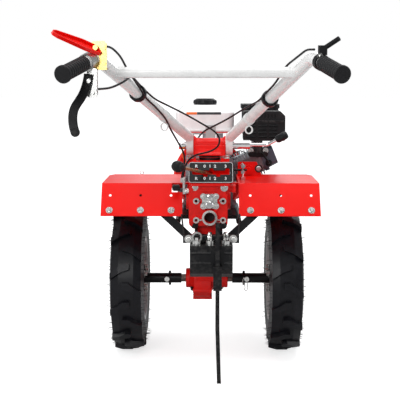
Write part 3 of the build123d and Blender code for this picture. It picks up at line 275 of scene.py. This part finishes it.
nodeFinish = {
    "tyreRubber": ["tyre_left", "tyre_right"],
    "rimGrey": ["rim_left", "rim_right"],
    "blackPaint": ["hub_left", "hub_right", "strut_left", "strut_right", "hitch_frame", "hitch_block",
                   "stake_socket", "stake", "front_stand", "engine_frame", "bumper", "hand_lever"],
    "darkSteel": ["axle_shaft"],
    "redCasting": ["gearbox", "final_drive"],
    "redPaint": ["fender_left", "fender_right", "shift_cover", "column_base", "column_head", "clutch_lever",
                 "fan_housing", "side_guard"],
    "whitePaint": ["handlebar", "cable_guides"],
    "tankPlastic": ["fuel_tank"],
    "castAlloy": ["engine_block", "clutch_housing", "carburettor", "tank_stand"],
    "coverBlue": ["rocker_cover"],
    "sheath": ["held_cables", "cable_loops", "cable_straps"],
    "mouldedBlack": ["gate_plate", "gear_knob", "recoil_starter", "tank_cap", "air_cleaner", "clamp_grip",
                     "throttle_lever"],
    "heatBlack": ["muffler", "exhaust_pipe"],
    "gripRubber": ["grip_left", "grip_right"],
    "zinc": ["hitch_pins", "hand_lever_bracket", "detent_flange", "release_arms"],
    "chrome": ["clamp_bolt"],
    "yellowZinc": ["clutch_bracket"],
    "brassRod": ["gear_lever"],
}
for finish, names in nodeFinish.items():
    for name in names:
        nodes[name].data.materials.clear()
        nodes[name].data.materials.append(made[finish])


# Small builders for the added pieces


def addMesh(name, build, finish, body, smooth=False):
    mesh = bpy.data.meshes.new(name)
    work = bmesh.new()
    build(work)
    bmesh.ops.recalc_face_normals(work, faces=work.faces)
    work.to_mesh(mesh)
    work.free()
    piece = bpy.data.objects.new(name, mesh)
    bpy.context.scene.collection.objects.link(piece)
    mesh.materials.append(made[finish])
    if smooth:
        mesh.shade_smooth()
    if body:
        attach(piece, body)
    return piece


def facing(origin, direction, upward=Vector((0, 0, 1))):
    # a frame whose local Z points along direction
    z = Vector(direction).normalized()
    x = Vector(upward).cross(z)
    if x.length < 1e-4:
        x = Vector((1, 0, 0)).cross(z)
    x.normalize()
    y = z.cross(x)
    return Matrix.Translation(origin) @ Matrix((x, y, z)).transposed().to_4x4()


def turned(work, place, profile, steps=24):
    # (radius, height) points turned about the frame's Z
    rings = []
    for radius, height in profile:
        if radius < 1e-6:
            rings.append([work.verts.new(place @ Vector((0, 0, height)))])
        else:
            angles = [2 * math.pi * i / steps for i in range(steps)]
            ring = [Vector((radius * math.cos(a), radius * math.sin(a), height)) for a in angles]
            rings.append([work.verts.new(place @ point) for point in ring])
    for a, b in zip(rings, rings[1:]):
        for i in range(steps):
            j = (i + 1) % steps
            corners = [a[i % len(a)], a[j % len(a)], b[j % len(b)], b[i % len(b)]]
            unique = list(dict.fromkeys(corners))
            if len(unique) > 2:
                work.faces.new(unique)


def hexBolt(work, origin, direction, across=0.010, height=0.006, washer=True):
    place = facing(origin, direction)
    if washer:
        turned(work, place, [(0, 0), (across * 0.95, 0), (across * 0.95, 0.0016), (0, 0.0016)], 20)
    r = across / 2 / math.cos(math.pi / 6)
    turned(work, place @ Matrix.Translation((0, 0, 0.0016)),
           [(0, 0), (r, 0), (r, height * 0.85), (r * 0.86, height), (0, height)], 6)


def tube(name, points, radius, finish, body, cyclic=False, spline="NURBS"):
    curve = bpy.data.curves.new(name, "CURVE")
    curve.dimensions = "3D"
    curve.bevel_depth = radius
    curve.bevel_resolution = 4
    curve.use_fill_caps = True
    line = curve.splines.new(spline)
    line.points.add(len(points) - 1)
    for point, place in zip(line.points, points):
        point.co = (*place, 1)
    line.use_cyclic_u = cyclic
    if spline == "NURBS":
        line.order_u = 3
        line.use_endpoint_u = not cyclic
        line.resolution_u = 10
    piece = bpy.data.objects.new(name, curve)
    bpy.context.scene.collection.objects.link(piece)
    curve.materials.append(made[finish])
    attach(piece, body)
    return piece


def loopPoints(place, width, height, radius, steps=6):
    # a rounded rectangle's outline in the frame's XY plane
    points = []
    for cx, cy, start in ((1, 1, 0), (-1, 1, 90), (-1, -1, 180), (1, -1, 270)):
        for i in range(steps + 1):
            a = math.radians(start + 90 * i / steps)
            points.append(place @ Vector((cx * (width / 2 - radius) + radius * math.cos(a),
                                          cy * (height / 2 - radius) + radius * math.sin(a), 0)))
    return points


# Tyres: moulding hairs on the shoulders
whiskers = dict(count=120, length=0.017, radius=0.0007, sides=4, seed=4, rooted=0.004, jitter=0.3, lean=0.35,
                rings=(0.80, 0.86, 0.90, 0.93), shoulder=0.84, slope=0.10, lengths=(0.7, 1.2), waist=0.7)


def buildWhiskers(side):
    low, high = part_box("tyre_" + side)
    centre = (low + high) / 2
    halfWidth = (high.x - low.x) / 2
    outerRadius = (high.z - low.z) / 2
    rng = random.Random(whiskers["seed"])
    jitter, lean, rooted = whiskers["jitter"], whiskers["lean"], whiskers["rooted"]

    def build(work):
        for i in range(whiskers["count"]):
            for face in (-1, 1):
                angle = 2 * math.pi * (i + rng.uniform(-jitter, jitter)) / whiskers["count"]
                share = rng.choice(whiskers["rings"])
                radius = outerRadius * share
                inset = 2 * rooted + max(0.0, share - whiskers["shoulder"]) * whiskers["slope"]
                out = face * (halfWidth - inset)
                root = centre + Vector((out, radius * math.cos(angle), radius * math.sin(angle)))
                way = Vector((face, rng.uniform(-lean, lean), rng.uniform(-lean, lean)))
                length = whiskers["length"] * rng.uniform(*whiskers["lengths"]) + rooted
                waist = (whiskers["radius"] * whiskers["waist"], length * whiskers["waist"])
                hair = [(whiskers["radius"], 0), waist, (0, length)]
                turned(work, facing(root, way), hair, whiskers["sides"])
    return addMesh("whiskers_" + side, build, "tyreRubber", "axle")


for side in ("left", "right"):
    buildWhiskers(side)
print("tyre hairs made")

# Shift gate: white outline and plain gear numbers
gate = dict(centre=(3.5, -262, 610), tilt=35.0, width=0.131, height=0.068, corner=0.006, line=0.0007,
            sheet=0.0031, textSize=0.0135, textDepth=0.0003, rowHeight=0.021,
            columns=(("R", -0.0437), ("0", -0.0188), ("1", -0.0026), ("2", 0.0125), ("3", 0.0445)))
gateTilt = math.radians(gate["tilt"])
gateNormal = Vector((0, -math.cos(gateTilt), math.sin(gateTilt)))
gateUp = Vector((0, math.sin(gateTilt), math.cos(gateTilt)))
gateTurn = Matrix((Vector((1, 0, 0)), gateUp, gateNormal)).transposed().to_4x4()
gatePlace = Matrix.Translation(at(*gate["centre"])) @ gateTurn


def addNumber(text, x, y, row):
    curve = bpy.data.curves.new("gateNumber", "FONT")
    curve.body = text
    curve.size = gate["textSize"]
    curve.align_x = "CENTER"
    curve.align_y = "CENTER"
    curve.extrude = gate["textDepth"]
    curve.offset = gate["textDepth"]
    piece = bpy.data.objects.new(f"gate_number_{row}_{text}", curve)
    bpy.context.scene.collection.objects.link(piece)
    curve.materials.append(made["gateWhite"])
    piece.matrix_world = gatePlace @ Matrix.Translation((x, y, gate["sheet"]))
    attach(piece, "chassis")


for row, way in (("upper", 1), ("lower", -1)):
    for text, x in gate["columns"]:
        addNumber(text, x, way * gate["rowHeight"], row)
gateFront = gatePlace @ Matrix.Translation((0, 0, gate["sheet"]))
gateLoop = loopPoints(gateFront, gate["width"], gate["height"], gate["corner"])
tube("gate_outline", gateLoop, gate["line"], "gateWhite", "chassis", True, "POLY")
print("shift gate made")


def onto(name, start, way, reach=0.2):
    # the first point of a CAD node met from start along way, and its normal
    node = nodes[name]
    back = node.matrix_world.inverted()
    look = (back.to_3x3() @ way).normalized()
    hit, place, normal, _ = node.ray_cast(back @ start, look, distance=reach)
    if not hit:
        raise ValueError("no surface of " + name + " there")
    return node.matrix_world @ place, (node.matrix_world.to_3x3() @ normal).normalized()


bpy.context.view_layer.update()

# Bolts: node, places to look from, way the look goes, size across flats
intoFlap = Vector((0, 0.846, -0.533))
zincBolts = [
    ("gearbox", [(-45.6, -300, 568), (43.8, -300, 567)], forward, 0.012),
    ("detent_flange", [(x, -310, z) for z in (541, 512) for x in (-19, 19)], forward, 0.010),
    ("fender_left", [(x, -280, 514) for x in (-305, -210, -117)], intoFlap, 0.011),
    ("fender_right", [(x, -280, 514) for x in (124, 217, 309)], intoFlap, 0.011),
    ("exhaust_pipe", [(x, 60, 650) for x in (137, 187)], forward, 0.010),
    ("hitch_frame", [(x, -360, 420) for x in (-62, 70)], forward, 0.013),
    ("strut_left", [(-190, -200, 640)], down, 0.011),
    ("strut_right", [(190, -200, 640)], down, 0.011),
    ("side_guard", [(160, -20, 598)], forward, 0.012),
]
baseBolts = [("column_base", [(x, y, 680) for x in (-60, 52) for y in (-169, -71)], down, 0.012)]
darkBolts = [
    ("gearbox", [(-45.7, -300, 453), (40.9, -300, 453)], forward, 0.012),
    ("final_drive", [(-55, -180, 205), (38, -180, 205)], forward, 0.010),
]
barBolts = [
    ("hand_lever_bracket", [(-296, -870, 925)], forward, 0.010),
    ("throttle_lever", [(280, -900, 950)], forward, 0.008),
]


def boltBuilder(listing, depth, place=at):
    def build(work):
        for name, starts, way, across in listing:
            for start in starts:
                seat, normal = onto(name, place(*start), way)
                hexBolt(work, seat, normal, across, across * depth)
    return build


addMesh("zinc_bolts", boltBuilder(zincBolts, 0.55), "zinc", "chassis")
addMesh("base_bolts", boltBuilder(baseBolts, 0.25), "zinc", "chassis")
addMesh("dark_bolts", boltBuilder(darkBolts, 0.55), "blackPaint", "chassis")

# The six bolts of each rim on its hub flange
hubBolts = dict(count=6, circle=0.041, first=30, standOff=0.09, across=0.012, height=0.007)


def buildHubBolts(side):
    out = -1 if side == "left" else 1
    low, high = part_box("rim_" + side)
    inner = high.x if side == "left" else low.x

    def build(work):
        for i in range(hubBolts["count"]):
            angle = math.radians(360 / hubBolts["count"] * i + hubBolts["first"])
            start = Vector((inner - out * hubBolts["standOff"], zeroY + hubBolts["circle"] * math.cos(angle),
                            axleZ + hubBolts["circle"] * math.sin(angle)))
            seat, _ = onto("hub_" + side, start, Vector((out, 0, 0)))
            hexBolt(work, seat, (-out, 0, 0), hubBolts["across"], hubBolts["height"])
    return addMesh("hub_bolts_" + side, build, "zinc", "axle")


for side in ("left", "right"):
    buildHubBolts(side)
print("fastenings made")

# Machined faces of the tool bosses and the drive bore, near-black painted shade on their bore floors, and the
# detent cover's plug
drive = dict(face=-290, z=477, ring=(0.0168, 0.0230), floor=-252, floorRadius=0.0162, steps=32)
bosses = dict(face=-279.2, x=40.5, rows=(526.5, 468.5), ring=(0.0048, 0.0094), floor=-262, floorRadius=0.0044,
              steps=24)
skin = dict(sheet=0.0003, lift=0.2, floorSheet=0.0005)
detent = dict(plugZ=516, plug=[(0, 0), (0.0112, 0), (0.0112, 0.003), (0.0098, 0.0045), (0, 0.0045)],
              lipZ=539, lip=[(0, 0), (0.0085, 0), (0.0085, 0.002), (0.006, 0.003), (0, 0.003)])
bossPlaces = [(x, z) for z in bosses["rows"] for x in (-bosses["x"], bosses["x"])]


def flatRing(work, place, inner, outer, sheet, steps=40):
    turned(work, place, [(inner, 0), (outer, 0), (outer, sheet), (inner, sheet), (inner, 0)], steps)


def disc(work, place, radius, sheet, steps):
    turned(work, place, [(0, 0), (radius, 0), (radius, sheet), (0, sheet)], steps)


def buildMachined(work):
    for x, z in bossPlaces:
        flatRing(work, facing(at(x, bosses["face"], z), toRear), *bosses["ring"], skin["sheet"])
    place = facing(at(0, drive["face"] - skin["lift"], drive["z"]), toRear)
    flatRing(work, place, *drive["ring"], skin["sheet"])


# painted shade: a near-black disc on each bore's floor stands in for the shade inside the hole
def buildBoreShade(work):
    for x, z in bossPlaces:
        place = facing(at(x, bosses["floor"], z), toRear)
        disc(work, place, bosses["floorRadius"], skin["floorSheet"], bosses["steps"])
    place = facing(at(0, drive["floor"], drive["z"]), toRear)
    disc(work, place, drive["floorRadius"], skin["floorSheet"], drive["steps"])


def buildDetent(work):
    for z, profile in ((detent["plugZ"], detent["plug"]), (detent["lipZ"], detent["lip"])):
        turned(work, facing(at(0, drive["face"], z), toRear), profile, drive["steps"])


addMesh("detent_plug", buildDetent, "chrome", "chassis")
addMesh("machined_faces", buildMachined, "zinc", "chassis")
addMesh("painted_bore_shade", buildBoreShade, "boreShade", "chassis")

# The swivel's black friction discs, one on the base and one on the head
discs = dict(radius=0.0333, sheet=0.0004, steps=48,
             bands=(("chassis", 638.4, 645.7), ("column", 646.8, 653.9)))


def addDisc(body, low, high):
    place = Matrix.Translation(at(0, columnY, low))
    inner = discs["radius"] - discs["sheet"]
    addMesh("swivel_disc_" + body,
            lambda work: flatRing(work, place, inner, discs["radius"], (high - low) / 1000, discs["steps"]),
            "mouldedBlack", body)


for band in discs["bands"]:
    addDisc(*band)
print("machined faces made")

# Thin layers on a node's rear face: name, node, place to look from, width, height, finish, slot
layerGap = 0.0005
layers = [
    ("stripe_orange", "fuel_tank", 60, (-78, -43), (769, 777), "stripeOrange", "white_tank"),
    ("stripe_dark", "fuel_tank", 60, (-42.6, 38), (769, 777), "stripeDark", "white_tank"),
    ("tank_edge_red", "fuel_tank", 60, (-104, 72), (708, 711.5), "redPaint", "white_tank"),
    ("web_upper_left", "gearbox", -320, (-34, -29), (524.5, 528.5), "zinc", "red_casting"),
    ("web_upper_right", "gearbox", -320, (29, 34), (524.5, 528.5), "zinc", "red_casting"),
    ("web_lower_left", "gearbox", -320, (-32, -23), (467, 470.5), "zinc", "red_casting"),
    ("web_lower_right", "gearbox", -320, (23, 32), (467, 470.5), "zinc", "red_casting"),
]


def between(span, share):
    return span[0] + (span[1] - span[0]) * share


def addLayer(name, node, y, xs, zs, finish, slot, across=16, up=4):
    def build(work):
        columns = []
        for i in range(across + 1):
            column = []
            for k in range(up + 1):
                start = at(between(xs, i / across), y, between(zs, k / up))
                place, normal = onto(node, start, forward, 0.3)
                column.append(work.verts.new(place + normal * layerGap))
            columns.append(column)
        for a, b in zip(columns, columns[1:]):
            for k in range(up):
                work.faces.new((a[k], b[k], b[k + 1], a[k + 1]))
    addMesh(name, build, finish, "chassis")


for layer in layers:
    addLayer(*layer)


def addBox(name, xs, ys, zs, finish, body, bevel):
    def build(work):
        bmesh.ops.create_cube(work, size=1.0)
        low, high = at(xs[0], ys[0], zs[0]), at(xs[1], ys[1], zs[1])
        for vert in work.verts:
            vert.co = Vector(((low + high)[k] / 2 + vert.co[k] * (high - low)[k] for k in range(3)))
        bmesh.ops.bevel(work, geom=work.edges[:], offset=bevel, segments=2, affect="EDGES")
    return addMesh(name, build, finish, body)


# Small parts round the engine and the gearbox
addBox("tank_plate", (-14, 20), (97.5, 100.6), (689, 734), "greyPaint", "chassis", 0.0008)
addBox("switch_box", (-113.5, -90), (-246, -226), (553, 570.5), "mouldedBlack", "chassis",
       0.003)

# The threaded link with its three nuts beside the gearbox
link = dict(x=104, y=-100, foot=571.5, radius=0.0040, length=0.053, tip=0.054, nuts=(573, 592, 611),
            nutRadius=0.0085, nutHeight=0.009, armZ=603, armEnds=(76, 103, 118), armRadius=0.0035)


def buildLink(work):
    rodProfile = [(0, 0), (link["radius"], 0), (link["radius"], link["length"]), (0, link["tip"])]
    turned(work, Matrix.Translation(at(link["x"], link["y"], link["foot"])), rodProfile, 16)
    for z in link["nuts"]:
        disc(work, Matrix.Translation(at(link["x"], link["y"], z)), link["nutRadius"], link["nutHeight"], 6)


addMesh("link_rod", buildLink, "chrome", "chassis")
tube("link_arm", [at(x, link["y"], link["armZ"]) for x in link["armEnds"]], link["armRadius"], "blackPaint",
     "chassis")

plug = dict(place=(199, 111, 606), profile=[(0, -0.001), (0.011, -0.001), (0.011, 0.003), (0.0085, 0.004),
                                            (0.0085, 0.010), (0.006, 0.013), (0, 0.013)],
            lead=[(199, 98, 606), (196, 88, 612), (182, 86, 634), (158, 92, 652), (130, 100, 662)],
            leadRadius=0.0033)
plugFrame = facing(at(*plug["place"]), toRear)
addMesh("spark_plug", lambda work: turned(work, plugFrame, plug["profile"], 24), "mouldedBlack", "chassis",
        True)
tube("plug_lead", [at(*place) for place in plug["lead"]], plug["leadRadius"], "sheath", "chassis")


def addRing(name, centre, radius, wire, finish, steps):
    # a wire ring that stands across the machine
    angles = [2 * math.pi * i / steps for i in range(steps)]
    points = [centre + Vector((radius * math.cos(a), 0, radius * math.sin(a))) for a in angles]
    tube(name, points, wire, finish, "chassis", True, "POLY")


addRing("fender_eye", at(-228, 90, 576), 0.006, 0.0012, "zinc", 16)
addRing("guard_ring", at(160, -2, 598), 0.011, 0.0022, "mouldedBlack", 24)

# Thin electric wires beside the column
wireRadius = 0.0015
wires = [
    ("wire_yellow", "wireYellow", [(-76, -30, 620), (-88, -70, 642), (-86, -120, 668), (-80, -150, 660),
                                   (-76, -168, 634)]),
    ("wire_red", "redPaint", [(-74, -30, 620), (-84, -66, 636), (-82, -116, 660), (-77, -146, 652),
                              (-73, -168, 632)]),
    ("wire_black", "sheath", [(58, -60, 628), (74, -40, 648), (92, 10, 655), (108, 80, 650), (120, 96, 640)]),
]
for name, finish, route in wires:
    tube(name, [at(*place) for place in route], wireRadius, finish, "chassis")
print("small engine parts made")

# Hub pins with a spring clip on the right one
hubPins = dict(places=(-140.0, 122.0), z=235, reach=0.024, steps=16, radius=0.0048, headRadius=0.008,
               headBack=0.001, headDepth=0.004)
clip = dict(x=116, depth=0.0255, wire=0.0012, shape=(
    (0.006, 0.004), (0.0, 0.006), (-0.006, 0.002), (-0.007, -0.010), (-0.003, -0.018), (0.002, -0.026),
    (-0.002, -0.034), (0.004, -0.040), (0.009, -0.034), (0.009, -0.012), (0.006, 0.0)))


def buildHubPins(work):
    length = 2 * hubPins["reach"]
    head, shank = hubPins["headRadius"], hubPins["radius"]
    back, depth = hubPins["headBack"], hubPins["headDepth"]
    profile = [(0, -back), (head, -back), (head, depth), (shank, depth), (shank, length), (0, length)]
    for x in hubPins["places"]:
        place = facing(at(x, 0, hubPins["z"]) + toRear * hubPins["reach"], forward)
        turned(work, place, profile, hubPins["steps"])


addMesh("hub_pins", buildHubPins, "zinc", "axle")
clipPoints = [at(clip["x"], 0, hubPins["z"]) + Vector((x, -clip["depth"], z)) for x, z in clip["shape"]]
tube("spring_clip", clipPoints, clip["wire"], "zinc", "axle")
print("hub pins made")

# The clamp's ribbed nut on the bolt beside the head
clampNut = dict(start=77, end=121, radius=0.0136, ribs=18, groove=0.93, chamfer=0.003, endShare=0.86)


def stitched(work, rings):
    # closed rings of equal count joined into one capped skin
    for a, b in zip(rings, rings[1:]):
        for k in range(len(a)):
            j = (k + 1) % len(a)
            work.faces.new((a[k], a[j], b[j], b[k]))
    work.faces.new(rings[0])
    work.faces.new(rings[-1])


def buildClampNut(work):
    start = onBar(clampNut["start"], columnY, pivotZ)
    place = facing(start, onBar(clampNut["end"], columnY, pivotZ) - start)
    length = (clampNut["end"] - clampNut["start"]) / 1000
    sides = clampNut["ribs"] * 2
    chamfer, small = clampNut["chamfer"], clampNut["endShare"]
    rings = []
    for height, share in ((0, small), (chamfer, 1.0), (length - chamfer, 1.0), (length, small)):
        ring = []
        for k in range(sides):
            reach = clampNut["radius"] * share * (1.0 if k % 2 else clampNut["groove"])
            angle = 2 * math.pi * k / sides
            point = Vector((reach * math.cos(angle), reach * math.sin(angle), height))
            ring.append(work.verts.new(place @ point))
        rings.append(ring)
    stitched(work, rings)


addMesh("clamp_nut", buildClampNut, "chrome", "column")
print("clamp nut made")

# Handlebar fittings: a chrome band at the throttle and one at the hand lever
bar = dict(corner=(266, -785, 948), end=(321, -950, 907), inner=0.0161)
bands = ((1, 0.27, 0.010, 0.0185), (-1, 0.16, 0.008, 0.0182))


def buildBands(work):
    for side, share, width, outer in bands:
        corner = onBar(side * bar["corner"][0], *bar["corner"][1:])
        end = onBar(side * bar["end"][0], *bar["end"][1:])
        way = (end - corner).normalized()
        place = facing(corner + (end - corner) * share - way * width / 2, way)
        flatRing(work, place, bar["inner"], outer, width, 32)


addMesh("bar_bands", buildBands, "chrome", "handlebar")
addMesh("bar_bolts", boltBuilder(barBolts, 0.5, onBar), "zinc", "handlebar")
print("handlebar fittings made")

# The free stretches of the three control cables, each built as an upper and a lower piece
loops = dict(radius=0.00275, steps=10, sides=10, routes=(
    ("brake", 0.55, [(-121.5, -383, 819.5), (-94, -335, 803), (-52, -268, 777), (-14, -232, 752),
                     (16, -214, 734), (33, -205, 712), (30, -199, 686), (6, -196, 670), (-22, -193, 663),
                     (-46, -189, 657), (-66, -187, 640), (-76, -190, 617), (-80, -192, 591)]),
    ("clutch", 0.5, [(-103.5, -275, 724.5), (-94, -250, 704), (-78, -226, 672), (-73, -216, 648),
                     (-79, -217, 618), (-83, -218, 591)]),
    ("throttle", 0.5, [(124, -407, 819), (104, -352, 806), (62, -265, 775), (18, -200, 749), (-16, -143, 730),
                       (-37, -92, 706), (-46, -38, 684), (-38, 20, 676), (-22, 66, 682), (-16, 103, 690)])))


def smoothLine(points, steps):
    # quadratic arcs between the runs' middles, out to both ends
    line = []
    last = len(points) - 1
    for i in range(1, last):
        start = points[0] if i == 1 else (points[i - 1] + points[i]) / 2
        end = points[last] if i == last - 1 else (points[i] + points[i + 1]) / 2
        for k in range(steps):
            t = k / steps
            line.append(start * (1 - t) ** 2 + points[i] * 2 * t * (1 - t) + end * t ** 2)
    return line + [points[last]]


def sweptTube(work, line, sides, radius):
    rings = []
    normal = (line[1] - line[0]).orthogonal().normalized()
    angles = [2 * math.pi * k / sides for k in range(sides)]
    for i, place in enumerate(line):
        way = (line[min(i + 1, len(line) - 1)] - line[max(i - 1, 0)]).normalized()
        normal = (normal - way * normal.dot(way)).normalized()
        other = way.cross(normal)
        spokes = [normal * math.cos(a) + other * math.sin(a) for a in angles]
        rings.append([work.verts.new(place + spoke * radius) for spoke in spokes])
    stitched(work, rings)


def addLoop(label, share, points):
    line = smoothLine([onBar(*point) for point in points], loops["steps"])
    middle = round(len(line) * share)
    for part, stretch, bodies in (("upper", line[:middle + 1], ("handlebar", "column")),
                                  ("lower", line[middle:], ("column", "chassis"))):
        piece = addMesh(f"{label}_loop_{part}",
                        lambda work: sweptTube(work, stretch, loops["sides"], loops["radius"]),
                        "sheath", None, True)
        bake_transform(piece)
        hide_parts("cable_loops")


for label, share, points in loops["routes"]:
    addLoop(label, share, points)
print("cable loops made")

# Floor, world, lamps and camera
view = dict(distance=3.3, height=0.917, horizonPixel=70.0, vanishPixel=209.7, focalPixels=1015.0, size=400,
            sensor=36.0, farthest=100.0)
studio = dict(skyColour=(0.95, 0.97, 1.0, 1), skyStrength=0.34, floorSize=30, floorGrey=0.62, floorRough=0.9,
              glowNear=0.68, glowGain=0.35, glowFrom=1.2, glowTo=4.5)
lamps = [
    ("overhead", (0.0, -0.3, 2.6), (2.6, 2.2), 56),
    ("front_fill", (-1.2, -3.2, 1.2), (1.6, 1.6), 52),
    ("right_side", (3.0, -0.8, 1.0), (1.6, 1.8), 32),
    ("left_side", (-3.0, 0.4, 0.9), (1.6, 1.8), 28),
    ("behind", (0.4, 3.2, 1.6), (2.0, 1.4), 26),
]


def buildWorld():
    world = bpy.data.worlds.new("studio")
    bpy.context.scene.world = world
    world.use_nodes = True
    tree = world.node_tree
    plain = tree.nodes["Background"]
    plain.inputs["Color"].default_value = studio["skyColour"]
    plain.inputs["Strength"].default_value = studio["skyStrength"]
    white = tree.nodes.new("ShaderNodeBackground")
    white.inputs["Color"].default_value = (1, 1, 1, 1)
    white.inputs["Strength"].default_value = 1.0
    mix = tree.nodes.new("ShaderNodeMixShader")
    path = tree.nodes.new("ShaderNodeLightPath")
    seen = maths(tree, "MAXIMUM", path.outputs["Is Camera Ray"], path.outputs["Is Transmission Ray"])
    tree.links.new(seen, mix.inputs[0])
    tree.links.new(plain.outputs[0], mix.inputs[1])
    tree.links.new(white.outputs[0], mix.inputs[2])
    tree.links.new(mix.outputs[0], tree.nodes["World Output"].inputs["Surface"])


def buildFloor():
    mesh = bpy.data.meshes.new("floor")
    work = bmesh.new()
    bmesh.ops.create_grid(work, x_segments=1, y_segments=1, size=studio["floorSize"])
    work.to_mesh(mesh)
    work.free()
    floor = bpy.data.objects.new("floor", mesh)
    bpy.context.scene.collection.objects.link(floor)
    material = bpy.data.materials.new("paleFloor")
    material.use_nodes = True
    tree = material.node_tree
    shader = tree.nodes["Principled BSDF"]
    shader.inputs["Base Color"].default_value = (*[studio["floorGrey"]] * 3, 1)
    shader.inputs["Roughness"].default_value = studio["floorRough"]
    glow = tree.nodes.new("ShaderNodeEmission")
    glow.inputs["Color"].default_value = (1, 1, 1, 1)
    # the floor's own white grows with distance, so that it meets the backdrop without a line
    spread = tree.nodes.new("ShaderNodeVectorMath")
    spread.operation = "LENGTH"
    tree.links.new(places(tree), spread.inputs[0])
    far = ramp(tree, spread.outputs["Value"], studio["glowFrom"], studio["glowTo"])
    gain = maths(tree, "MULTIPLY", far, studio["glowGain"])
    tree.links.new(maths(tree, "ADD", gain, studio["glowNear"]), glow.inputs["Strength"])
    total = tree.nodes.new("ShaderNodeAddShader")
    tree.links.new(shader.outputs[0], total.inputs[0])
    tree.links.new(glow.outputs[0], total.inputs[1])
    mix = tree.nodes.new("ShaderNodeMixShader")
    path = tree.nodes.new("ShaderNodeLightPath")
    tree.links.new(path.outputs["Is Camera Ray"], mix.inputs[0])
    tree.links.new(shader.outputs[0], mix.inputs[1])
    tree.links.new(total.outputs[0], mix.inputs[2])
    tree.links.new(mix.outputs[0], tree.nodes["Material Output"].inputs["Surface"])
    mesh.materials.append(material)


def addLamp(name, place, target, size, power):
    data = bpy.data.lights.new(name, "AREA")
    data.shape = "RECTANGLE"
    data.size = size[0]
    data.size_y = size[1]
    data.energy = power
    lamp = bpy.data.objects.new(name, data)
    bpy.context.scene.collection.objects.link(lamp)
    lamp.matrix_world = facing(place, place - target)


def buildCamera():
    data = bpy.data.cameras.new("photo_view")
    data.sensor_width = view["sensor"]
    data.lens = view["focalPixels"] / view["size"] * view["sensor"]
    data.clip_end = view["farthest"]
    camera = bpy.data.objects.new("photo_view", data)
    bpy.context.scene.collection.objects.link(camera)
    camera.location = (zeroX, zeroY - view["distance"], view["height"])
    tilt = math.atan((view["size"] / 2 - view["horizonPixel"]) / view["focalPixels"])
    turn = math.atan((view["vanishPixel"] - view["size"] / 2) / view["focalPixels"])
    camera.rotation_euler = (math.pi / 2 - tilt, 0, turn)
    bpy.context.scene.camera = camera


buildWorld()
buildFloor()
middle = at(0, -100, 500)
for name, offset, size, power in lamps:
    addLamp(name, middle + Vector(offset), middle, size, power)
buildCamera()
bpy.context.scene.view_settings.view_transform = "Standard"
print("camera, lamps and floor set")
